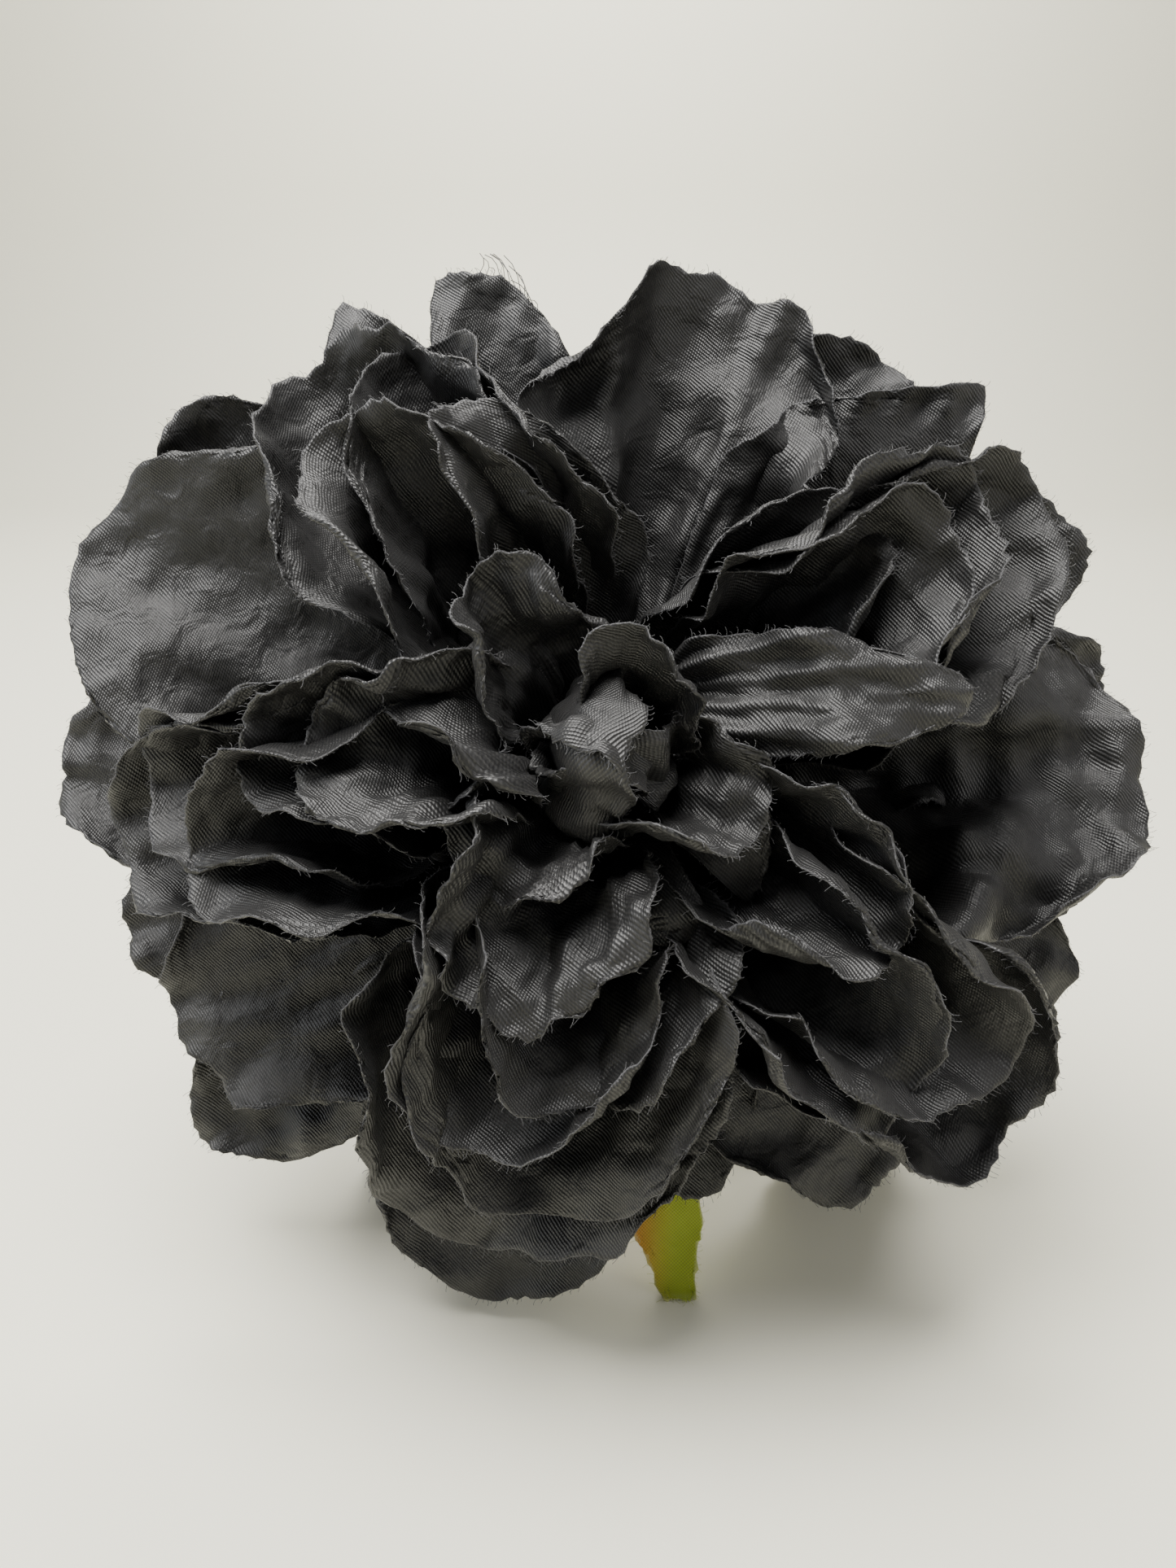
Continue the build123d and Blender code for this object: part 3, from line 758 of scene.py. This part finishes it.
def plastic(name, colour, roughness, clear=0.0):
    """Moulded plastic with faint flow marks."""
    made, tree, shader = new_material(name)
    where = tree.nodes.new("ShaderNodeTexCoord")
    wear = use_group(
        tree, "surface_wear",
        {"Vector": where.outputs["Object"], "Grain": 420.0, "Stretch": (1.0, 1.0, 1.0)},
    )
    dark = (*[c * 0.6 for c in colour], 1)
    wire(tree, blend_colours(tree, wear.outputs["Smudge"], dark, (*colour, 1)), shader.inputs["Base Color"])
    wire(tree, maths(tree, "MULTIPLY_ADD", wear.outputs["Grain"], 0.2, roughness - 0.1),
         shader.inputs["Roughness"])
    preset(shader, {"Subsurface Weight": clear, "Subsurface Scale": 0.002})
    bump(tree, shader, wear.outputs["Grain"], 0.15, 0.0001)
    return made


# The sheets and their petals ------------------------------------------------------------------------

BACK_PETALS = [
    petal(333, 62, 14, (2, 5, 3), (30, 14), tip="pointed", seed=11, ruffle=0.6),
    petal(347, 58, 11, (3, 9, 8), (30, 34), seed=12, ruffle=0.5, sweep=-2, tuft=3.4),
    petal(30, 56, 17, (2, 7, 6), (16, 40), seed=13, sweep=4),
    petal(63, 60, 16, (0, 4, 6), (30, 26), seed=14, ruffle=1.3),
    petal(80, 59, 13, (0, 2, 4), (34, 30), seed=20, ruffle=1.2),
    petal(118, 60, 18, (0, 1, 2), (14, 40), seed=15, ruffle=1.2),
    petal(146, 70, 15, (0, -26, -44), (10, 10), seed=16, crumple=0.7),
    petal(204, 70, 15, (0, -26, -44), (10, 10), seed=17, crumple=0.7),
    petal(226, 61, 15, (0, 2, 0), (30, 20), seed=27, crumple=1.4),
    petal(250, 56, 14, (0, 3, 4), (26, 30), seed=28),
    petal(270, 62, 18, (0, 1, 3), (22, 20), seed=18, ruffle=0.9),
    petal(309, 62, 14, (0, 4, 16), (12, 34), seed=19, ruffle=0.6, curl=24),
]
FRONT_PETALS = [
    petal(15, 54, 20, (10, 15, 4), (56, 48), seed=21, pleats=2.4, ruffle=0.6, tight=0.9),
    petal(48, 58, 17, (10, 14, 8), (30, 44), seed=22, tip="pointed", crumple=1.2),
    petal(91, 60, 23, (3, 9, 3), (44, 30), seed=23, pleats=1.4, crumple=2.0, twist=16),
    petal(147, 55, 15, (2, 6, 2), (16, 30), seed=29, ruffle=0.8),
    petal(167, 48, 12, (2, 3, 2), (34, 14), seed=24, ruffle=0.4, crumple=0.5),
    petal(192, 60, 20, (2, 2, 0), (24, 28), seed=30, ruffle=1.0),
    petal(236, 54, 21, (2, 6, 2), (20, 30), seed=25, crumple=1.0, ruffle=0.7),
    petal(293, 61, 24, (8, 9, 4), (12, 40), seed=26, ruffle=0.4, crumple=0.8, twist=-8),
]
GATHERED_1 = [
    petal(60, 53, 22, (10, 20, 12), (104, 56), seed=31, ruffle=1.2, twist=6),
    petal(132, 57, 24, (8, 18, 12), (100, 80), seed=32, ruffle=1.2, twist=4),
    petal(193, 51, 28, (8, 17, 8), (70, 78), seed=33, ruffle=1.3, flare=(20, 10)),
    petal(261, 50, 23, (10, 17, 12), (76, 100), seed=34, ruffle=1.2, twist=-4),
    petal(324, 51, 24, (10, 20, 14), (88, 92), seed=35, ruffle=1.2, flare=(30, 0)),
]
GATHERED_2 = [
    petal(54, 47, 20, (16, 26, 18), (108, 74), seed=41, ruffle=1.1, flare=(0, 24)),
    petal(128, 51, 21, (14, 25, 18), (108, 86), seed=42, ruffle=1.2, flare=(20, 0)),
    petal(188, 46, 25, (14, 24, 14), (80, 82), seed=43, ruffle=1.2, flare=(24, 16)),
    petal(268, 46, 20, (13, 22, 16), (80, 104), seed=44, ruffle=1.1, flare=(0, 24)),
    petal(334, 46, 21, (16, 26, 20), (92, 104), seed=45, ruffle=1.1, flare=(10, 50)),
]
GATHERED_3 = [
    petal(58, 42, 17, (22, 32, 22), (104, 70), seed=51, ruffle=1.1, flare=(24, 0)),
    petal(138, 45, 18, (20, 30, 22), (104, 92), seed=52, ruffle=1.2, twist=4),
    petal(198, 41, 21, (20, 31, 20), (76, 88), seed=53, ruffle=1.1, flare=(0, 20)),
    petal(256, 42, 19, (18, 28, 20), (82, 100), seed=54, ruffle=1.2, flare=(24, 10)),
    petal(322, 42, 18, (22, 32, 26), (96, 90), seed=55, ruffle=1.1, flare=(20, 30)),
]
GATHERED_4 = [
    petal(58, 35, 13, (26, 32, 16), (104, 40), seed=61, ruffle=1.0, shift=-5, twist=18),
    petal(122, 36, 15, (28, 38, 28), (92, 84), seed=62, ruffle=1.1),
    petal(184, 36, 18, (26, 36, 20), (66, 76), seed=63, ruffle=1.0),
    petal(272, 36, 15, (26, 35, 22), (70, 92), seed=64, ruffle=1.1),
    petal(350, 38, 10, (30, 40, 24), (30, 60), seed=65, ruffle=1.2, sweep=-14, twist=-40),
]
INNER = [
    petal(91, 43, 6.4, (72, 28, -10), (4, 8), seed=71, ruffle=0.4, start=2, neck=5.5, shift=-6,
          crumple=1.6, pleats=0.5, pleat_rate=30),
    petal(142, 25, 11, (76, 50, -38), (10, 12), seed=72, tip="notched", neck=7, ruffle=0.2,
          crumple=0.5, rows=80, columns=61),
    petal(204, 31, 14, (58, 40, 6), (66, 70), seed=73, start=4, ruffle=1.3, curl=30, crumple=1.6),
    petal(268, 32, 13, (58, 36, 2), (66, 82), seed=74, start=4, ruffle=1.5, crumple=1.8, twist=-16),
    petal(322, 27, 10, (66, 52, 30), (84, 66), seed=75, start=4, crumple=1.6, ruffle=1.2),
]
CENTRE_PETALS = [
    petal(24, 22, 9, (76, 74, 60), (76, 60), seed=81, start=4, rows=40, columns=29, crumple=1.6,
          ruffle=1.4),
    petal(120, 22, 10, (74, 58, 10), (70, 60), seed=82, start=4, rows=40, columns=29, twist=24,
          crumple=1.6, ruffle=1.3),
    petal(222, 22, 10, (72, 54, 6), (40, 66), seed=83, start=4, rows=40, columns=29, crumple=1.6,
          ruffle=1.5),
    petal(292, 25, 11, (68, 54, -30), (30, 20), seed=84, start=4, rows=40, columns=29, twist=-34,
          crumple=1.4),
]
BUD_PETALS = [
    petal(30, 21, 10, (80, 100, 150), (74, 66), seed=91, start=4, rows=36, columns=27, neck=4,
          crumple=1.3),
    petal(160, 19, 10, (80, 94, 140), (66, 74), seed=92, start=4, rows=36, columns=27, neck=4,
          crumple=1.3),
    petal(275, 23, 11, (76, 104, 175), (56, 60), seed=93, start=4, rows=36, columns=27, neck=4,
          crumple=1.3),
]
LEAVES = [
    petal(171.5, 62, 6.5, (0, 1, 2), (22, 22), tip="leaf", seed=101, start=6, ruffle=0.2, crumple=0.4,
          neck=1.6),
    *[
        petal(azimuth, 43, 6.5, (-2, -8, -12), (16, 16), tip="leaf", seed=seed, start=6, ruffle=0.3,
              crumple=0.4, neck=1.6)
        for azimuth, seed in ((246, 102), (318, 103), (30, 104), (102, 105))
    ],
]
SHEETS = [
    ("calyx_leaves", "calyx_leaf_cloth", 0, 8.0, LEAVES),
    ("outer_petals_back", "back_petal_cloth", 1, 7.5, BACK_PETALS),
    ("outer_petals_front", "front_petal_cloth", 2, 7.5, FRONT_PETALS),
    ("gathered_petals_1", "gathered_cloth_1", 3, 7.0, GATHERED_1),
    ("gathered_petals_2", "gathered_cloth_2", 4, 7.0, GATHERED_2),
    ("gathered_petals_3", "gathered_cloth_3", 5, 6.5, GATHERED_3),
    ("gathered_petals_4", "gathered_cloth_4", 6, 6.0, GATHERED_4),
    ("inner_petals", "inner_petal_cloth", 7, 5.0, INNER),
    ("centre_petals", "centre_petal_cloth", 8, 5.0, CENTRE_PETALS),
    ("bud_petals", "bud_petal_cloth", 9, 5.0, BUD_PETALS),
]


def make_sheet(node, name, index, hub_radius, petals, cloth, threads, settings):
    """Cuts, poses and frays one sheet, and puts it on the flower."""
    thickness = settings.cloth_thickness / MM
    height = FIRST_SHEET + SHEET_PITCH * index + 0.25
    sheet = Sheet()
    sheet.add(*hub(hub_radius, height), thickness)
    posed = []
    for p in petals:
        place, flat, edge = pose_petal(p, height)
        posed.append(place)
        sheet.add(place, flat, edge, thickness)
        sheet.add_rim(place, p["rows"] // 5)
    piece = new_object(name, sheet.mesh(name), cloth)
    fluff = fray(
        name + "_fray", sheet.rims, threads, settings.thread_spacing, settings.thread_length,
        settings.thread_radius, settings.thread_stray, index,
    )
    loose = [fluff]
    for place, p in zip(posed, petals):
        if p["tuft"]:
            middle = place[-1, 24:-6]
            out = middle - place[-4, 24:-6]
            out /= np.linalg.norm(out, axis=-1, keepdims=True)
            tuft = fray(
                name + "_tuft", [(middle, out)], threads, TUFT_SPACING, p["tuft"] * MM, TUFT_RADIUS,
                TUFT_STRAY, index,
            )
            loose.append(tuft)
    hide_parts(node)
    for part in (piece, *loose):
        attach(part, "flower")
    flat = np.concatenate(sheet.flat)
    return piece


def rolled_bud(cloth, threads, settings):
    """The heart of the flower: one strip of satin rolled round the end of the stem."""
    rows, columns = 30, 150
    s, t = np.meshgrid(np.linspace(0, 1, rows), np.linspace(0, 1, columns), indexing="ij")
    turns, tall, rear = 2.6, 11.0, 19.9
    angle = 2 * math.pi * turns * t
    radius = 2.75 - 1.9 * smooth(s / 0.6) + 0.95 * turns * t * (0.55 + 0.45 * s)
    radius = radius + 0.9 * smooth((s - 0.7) / 0.3) * t + 0.18 * folds(angle * 3, s * tall, 121, 5, 5)
    height = rear + s * (tall + 1.4 * np.sin(angle * 1.3) * s) - 1.6 * t * s
    outward = np.sin(angle)[..., None] * RIGHT + np.cos(angle)[..., None] * UP
    place = CENTRE + outward * radius[..., None] + FACE * height[..., None]
    length = 2 * math.pi * turns * 2.9
    flat = np.stack([t * length, s * tall], -1)
    edge = np.minimum((1 - s) * tall, (1 - t) * length)
    sheet = Sheet()
    sheet.add(place, flat, edge, settings.cloth_thickness / MM)
    out = place[-1] - place[-3]
    out /= np.linalg.norm(out, axis=-1, keepdims=True)
    sheet.rims.append((place[-1], out))
    bud = new_object("rolled_bud", sheet.mesh("rolled_bud"), cloth)
    fluff = fray(
        "rolled_bud_fray", sheet.rims, threads, settings.thread_spacing, settings.thread_length,
        settings.thread_radius, settings.thread_stray, 40,
    )
    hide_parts("bud_core")
    for part in (bud, fluff):
        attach(part, "flower")


def closed_mesh(name, upper, lower):
    """A closed pad between an upper and a lower grid of the same size, in millimetres."""
    rows, columns = upper.shape[:2]
    count = rows * columns
    index = np.arange(count).reshape(rows, columns)
    top = np.stack([index[:-1, :-1], index[:-1, 1:], index[1:, 1:], index[1:, :-1]], -1).reshape(-1, 4)
    ring = np.concatenate([index[0, :-1], index[:-1, -1], index[-1, :0:-1], index[:0:-1, 0]])
    after = np.roll(ring, -1)
    wall = np.stack([after, ring, ring + count, after + count], -1)
    faces = np.concatenate([top, top[:, ::-1] + count, wall])
    points = np.concatenate([upper.reshape(-1, 3), lower.reshape(-1, 3)]) * MM
    mesh = bpy.data.meshes.new(name)
    mesh.from_pydata(points.tolist(), [], faces.tolist())
    shape = bmesh.new()
    shape.from_mesh(mesh)
    bmesh.ops.remove_doubles(shape, verts=shape.verts, dist=1e-6)
    bmesh.ops.recalc_face_normals(shape, faces=shape.faces)
    shape.to_mesh(mesh)
    shape.free()
    mesh.polygons.foreach_set("use_smooth", [True] * len(mesh.polygons))
    return mesh


def round_pad(name, rear, radius, depth, round_over, wobble, seed):
    """A soft-edged round pad across the flower's axis, with an uneven outline."""
    share, angle = np.meshgrid(
        np.linspace(0, 1, 26) ** 0.6, np.linspace(0, 2 * math.pi, 97), indexing="ij"
    )
    reach = radius + wobble * folds(np.cos(angle) * radius, np.sin(angle) * radius, seed, radius * 0.8, 5)
    r = share * reach
    x, y = r * np.sin(angle), r * np.cos(angle)
    rise = 0.06 * folds(x, y, seed + 1, 9, 5) * depth
    inset = round_over * (1 - np.sqrt(np.clip(1 - smooth((r - reach + 1.2) / 1.2) ** 2, 0, 1)))
    spot = CENTRE + x[..., None] * RIGHT + y[..., None] * UP
    front = spot + FACE * (rear + depth - inset + rise * (share < 1))[..., None]
    back = spot + FACE * (rear + inset + rise * (share < 1))[..., None]
    rim = CENTRE + FACE * (rear + depth / 2) + x[-1][:, None] * RIGHT + y[-1][:, None] * UP
    return closed_mesh(name, front, back), rim


def felt_cover(name, rear):
    """The felt patch over the clip's base: it lies on the backing and steps over the steel."""
    along, across, thick, step_up = 14.0, 25.0, 1.0, 0.9
    x, u = np.meshgrid(np.linspace(-1, 1, 41), np.linspace(-1, 1, 61), indexing="ij")
    corner = 0.10 * np.clip(np.abs(u) - 0.6, 0, 1) ** 2 / 0.16
    x_mm = -3.0 + along / 2 * x * (1 - corner)
    u_mm = across / 2 * u * (1 - 0.05 * np.clip(np.abs(x) - 0.6, 0, 1) ** 2 / 0.16)
    over = step_up * (1 - smooth((np.abs(u_mm) - 5.0) / 2.2))
    over = over + 0.04 * folds(x_mm, u_mm, 131, 6, 5)
    edge = np.minimum((1 - np.abs(x)) * along / 2, (1 - np.abs(u)) * across / 2)
    inset = 0.32 * (1 - smooth(edge / 0.9))
    spot = CENTRE + x_mm[..., None] * RIGHT + u_mm[..., None] * UP
    near = spot + FACE * (rear - 0.03 - over)[..., None]
    far = spot + FACE * (rear - 0.03 - over - thick + inset)[..., None]
    middle = (near + far) / 2
    rim = np.concatenate([middle[0, :-1], middle[:-1, -1], middle[-1, :0:-1], middle[:0:-1, 0]])
    return closed_mesh(name, near, far), np.concatenate([rim, rim[:1]])


def felt_piece(name, node, mesh, rim, felt_cloth, seed):
    """A felt piece with its fuzz."""
    piece = new_object(name, mesh, felt_cloth)
    out = rim - rim.mean(0)
    out /= np.linalg.norm(out, axis=-1, keepdims=True)
    fuzz = fray(
        name + "_fuzz", [(rim, out)], felt_cloth, FUZZ_SPACING, FUZZ_LENGTH, FUZZ_RADIUS, FUZZ_STRAY, seed,
    )
    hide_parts(node)
    for part in (piece, fuzz):
        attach(part, "flower")


class PEONY_PG_settings(bpy.types.PropertyGroup):
    """Sizes and colours of the flower."""

    cloth_thickness: FloatProperty(
        name="Cloth thickness", description="Thickness of the petal cloth",
        default=0.00026, min=0.0001, max=0.001, subtype="DISTANCE", unit="LENGTH", precision=5,
    )
    rib_pitch: FloatProperty(
        name="Rib pitch", description="Distance between the weave's diagonal ribs",
        default=0.00046, min=0.0002, max=0.002, subtype="DISTANCE", unit="LENGTH", precision=5,
    )
    satin_colour: FloatVectorProperty(
        name="Satin", description="Colour of the petals", subtype="COLOR", size=3,
        default=(0.0028, 0.0028, 0.0031), min=0, max=1,
    )
    # Painted glint: a lighter colour on the float threads that stands in for the light they catch.
    painted_glint_colour: FloatVectorProperty(
        name="Painted satin glint", description="Painted glint on the threads that float over the weave",
        subtype="COLOR", size=3, default=(0.034, 0.0335, 0.032), min=0, max=1,
    )
    # Loose thread colour; on the satin it is also painted along the cut edges as a highlight.
    thread_and_edge_highlight_colour: FloatVectorProperty(
        name="Frayed thread", description="Colour of the loose threads, also painted as a highlight along the satin's cut edges",
        subtype="COLOR", size=3, default=(0.075, 0.075, 0.08), min=0, max=1,
    )
    leaf_green: FloatVectorProperty(
        name="Leaf green", description="Main colour of the calyx leaves", subtype="COLOR", size=3,
        default=(0.42, 0.52, 0.02), min=0, max=1,
    )
    leaf_orange: FloatVectorProperty(
        name="Leaf orange", description="Colour that the leaves turn to", subtype="COLOR", size=3,
        default=(0.70, 0.24, 0.02), min=0, max=1,
    )
    thread_spacing: FloatProperty(
        name="Thread spacing", description="Distance between loose threads along a cut edge",
        default=0.00055, min=0.0002, max=0.005, subtype="DISTANCE", unit="LENGTH", precision=5,
    )
    thread_length: FloatProperty(
        name="Thread length", description="Length of a loose thread",
        default=0.0007, min=0.0002, max=0.005, subtype="DISTANCE", unit="LENGTH", precision=5,
    )
    thread_radius: FloatProperty(
        name="Thread radius", description="Radius of a loose thread",
        default=0.000028, min=0.00001, max=0.0002, subtype="DISTANCE", unit="LENGTH", precision=6,
    )
    thread_stray: FloatProperty(
        name="Thread stray", description="How far loose threads stray from straight out",
        default=0.8, min=0, max=2, subtype="FACTOR",
    )
    leaf_count: IntProperty(name="Leaves", description="Calyx leaves in use", default=5, min=1, max=5)


class PEONY_OT_petals(bpy.types.Operator):
    """Cut, pose and fray every sheet of petals and the calyx leaves"""

    bl_idname = "peony.petals"
    bl_label = "Petals and leaves"

    def execute(self, context):
        settings = context.scene.peony
        cloth, leaf, threads = satin(settings), leaf_cloth(settings), thread_material(settings)
        for node, name, index, hub_radius, petals in SHEETS:
            green = node == "calyx_leaves"
            make_sheet(
                node, name, index, hub_radius, petals[: settings.leaf_count] if green else petals,
                leaf if green else cloth, leaf if green else threads, settings,
            )
        return {"FINISHED"}


class PEONY_OT_backing(bpy.types.Operator):
    """Finish the felt, the glue, the calyx cup and the stem"""

    bl_idname = "peony.backing"
    bl_label = "Backing and stem"

    def execute(self, context):
        settings = context.scene.peony
        felt_cloth = felt(settings)
        mesh, rim = round_pad("felt_pad", FELT_REAR, 21.9, 1.45, 0.35, 0.12, 111)
        felt_piece(
            "felt_pad", "felt_backing", mesh, rim, felt_cloth,
            41,
        )
        mesh, rim = felt_cover("felt_cover", FELT_REAR)
        felt_piece(
            "felt_cover", "felt_strap", mesh, rim, felt_cloth,
            42,
        )
        mesh, _ = round_pad("glue_blob", FELT_REAR + 1.5, 11.6, 1.45, 0.6, 0.5, 115)
        glue = new_object("glue_blob", mesh, plastic("clear_glue", (0.72, 0.70, 0.60), 0.3, 0.4))
        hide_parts("glue_pad")
        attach(glue, "flower")
        rolled_bud(satin(settings), thread_material(settings), settings)
        finishes = {
            "calyx_cup": plastic("calyx_plastic", (0.07, 0.18, 0.04), 0.5),
            "stem_peg": plastic("stem_plastic", (0.05, 0.13, 0.03), 0.5),
            "stem_spacers": plastic("stem_plastic", (0.05, 0.13, 0.03), 0.5),
        }
        for node, material in finishes.items():
            mesh = frame["nodes"][node].data
            mesh.materials.clear()
            mesh.materials.append(material)
        return {"FINISHED"}


class PEONY_OT_clip(bpy.types.Operator):
    """Finish the clip's jaws, pin and spring"""

    bl_idname = "peony.clip"
    bl_label = "Clip"

    def execute(self, context):
        plate = steel("clip_steel", (0.62, 0.62, 0.63), 0.26, (0.05, 1.0, 1.0))
        finishes = {
            "clip_base": plate,
            "clip_lever": plate,
            "clip_pin": steel("pin_steel", (0.58, 0.58, 0.60), 0.3, (1.0, 1.0, 1.0)),
        }
        for node, material in finishes.items():
            mesh = frame["nodes"][node].data
            mesh.materials.clear()
            mesh.materials.append(material)
        wire_steel = steel("spring_steel", (0.50, 0.50, 0.53), 0.3, (1.0, 1.0, 0.2))
        mesh = frame["nodes"]["clip_spring"].data.copy()
        shape = bmesh.new()
        shape.from_mesh(mesh)
        bmesh.ops.remove_doubles(shape, verts=shape.verts, dist=1e-6)
        shape.to_mesh(mesh)
        shape.free()
        spring = new_object("torsion_spring", mesh, wire_steel)
        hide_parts("clip_spring")
        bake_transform(spring)
        return {"FINISHED"}


class PEONY_OT_stage(bpy.types.Operator):
    """Set the pale floor, the soft lights and the camera"""

    bl_idname = "peony.stage"
    bl_label = "Stage"

    def execute(self, context):
        made, tree, shader = new_material("pale_floor")
        preset(shader, {"Base Color": (0.76, 0.745, 0.62, 1), "Roughness": 0.6})
        profile = [(FLOOR_FRONT, 0.0), (WALL_START, 0.0)]
        for step in range(1, 13):
            angle = math.radians(step * 7.5)
            rise = WALL_BEND - WALL_BEND * math.cos(angle)
            profile.append((WALL_START + WALL_BEND * math.sin(angle), rise))
        profile.append((WALL_START + WALL_BEND, WALL_TOP))
        points = [(x, y, z) for y, z in profile for x in (-FLOOR_SIDE, FLOOR_SIDE)]
        faces = [(2 * i, 2 * i + 1, 2 * i + 3, 2 * i + 2) for i in range(len(profile) - 1)]
        mesh = bpy.data.meshes.new("backdrop")
        mesh.from_pydata(points, [], faces)
        mesh.polygons.foreach_set("use_smooth", [True] * len(faces))
        new_object("backdrop", mesh, made)

        world = bpy.data.worlds.new("soft_room")
        world.use_nodes = True
        sky = world.node_tree.nodes["Background"]
        preset(sky, {"Color": (0.95, 0.97, 1.0, 1), "Strength": 0.22})
        context.scene.world = world
        aim = Vector(tuple(CENTRE * MM))
        for name, offset, size, power, colour in (
            ("ceiling", (-0.12, -0.05, 0.60), 0.50, 13.0, (1.0, 0.98, 0.95)),
            ("wall_wash", (0.0, 0.46, 0.55), 0.40, 6.0, (1.0, 0.98, 0.95)),
            ("left_fill", (-0.45, -0.10, 0.15), 0.30, 0.9, (0.93, 0.96, 1.0)),
            ("right_fill", (0.45, -0.15, 0.20), 0.30, 0.7, (1.0, 0.97, 0.93)),
        ):
            data = bpy.data.lights.new(name, "AREA")
            data.shape = "DISK"
            data.size, data.energy, data.color = size, power, colour
            lamp = bpy.data.objects.new(name, data)
            lamp.location = aim + Vector(offset)
            lamp.rotation_mode = "QUATERNION"
            target = WALL_LIGHT_AIM if name == "wall_wash" else aim
            lamp.rotation_quaternion = (target - lamp.location).to_track_quat("-Z", "Y")
            context.scene.collection.objects.link(lamp)

        pitch = math.radians(CAMERA_PITCH)
        forward = Vector((0, math.cos(pitch), -math.sin(pitch)))
        above = Vector((0, math.sin(pitch), math.cos(pitch)))
        data = bpy.data.cameras.new("camera")
        data.sensor_fit = "AUTO"
        data.sensor_width = 36
        data.lens = 27.0
        data.clip_start = 0.005
        camera = bpy.data.objects.new("camera", data)
        aside = Vector((CAMERA_LEFT, 0, 0)) + above * CAMERA_BELOW
        camera.location = aim - forward * CAMERA_DISTANCE - aside
        camera.rotation_mode = "QUATERNION"
        camera.rotation_quaternion = forward.to_track_quat("-Z", "Y")
        context.scene.collection.objects.link(camera)
        context.scene.camera = camera
        return {"FINISHED"}


class PEONY_PT_panel(bpy.types.Panel):
    """The flower's settings and the steps that make it"""

    bl_idname = "PEONY_PT_panel"
    bl_label = "Satin peony clip"
    bl_space_type = "VIEW_3D"
    bl_region_type = "UI"
    bl_category = "Peony"

    def draw(self, context):
        settings = context.scene.peony
        for name in settings.bl_rna.properties.keys():
            if name not in {"rna_type", "name"}:
                self.layout.prop(settings, name)
        for operator in OPERATORS:
            self.layout.operator(operator.bl_idname)


OPERATORS = (PEONY_OT_stage, PEONY_OT_petals, PEONY_OT_backing, PEONY_OT_clip)
CLASSES = (PEONY_PG_settings, *OPERATORS, PEONY_PT_panel)


def register():
    for cls in CLASSES:
        bpy.utils.register_class(cls)
    bpy.types.Scene.peony = PointerProperty(type=PEONY_PG_settings)


def unregister():
    del bpy.types.Scene.peony
    for cls in reversed(CLASSES):
        bpy.utils.unregister_class(cls)


def main():
    """Makes every piece."""
    register()
    bpy.ops.peony.stage()
    bpy.ops.peony.petals()
    bpy.ops.peony.backing()
    bpy.ops.peony.clip()


if __name__ == "__main__":
    main()
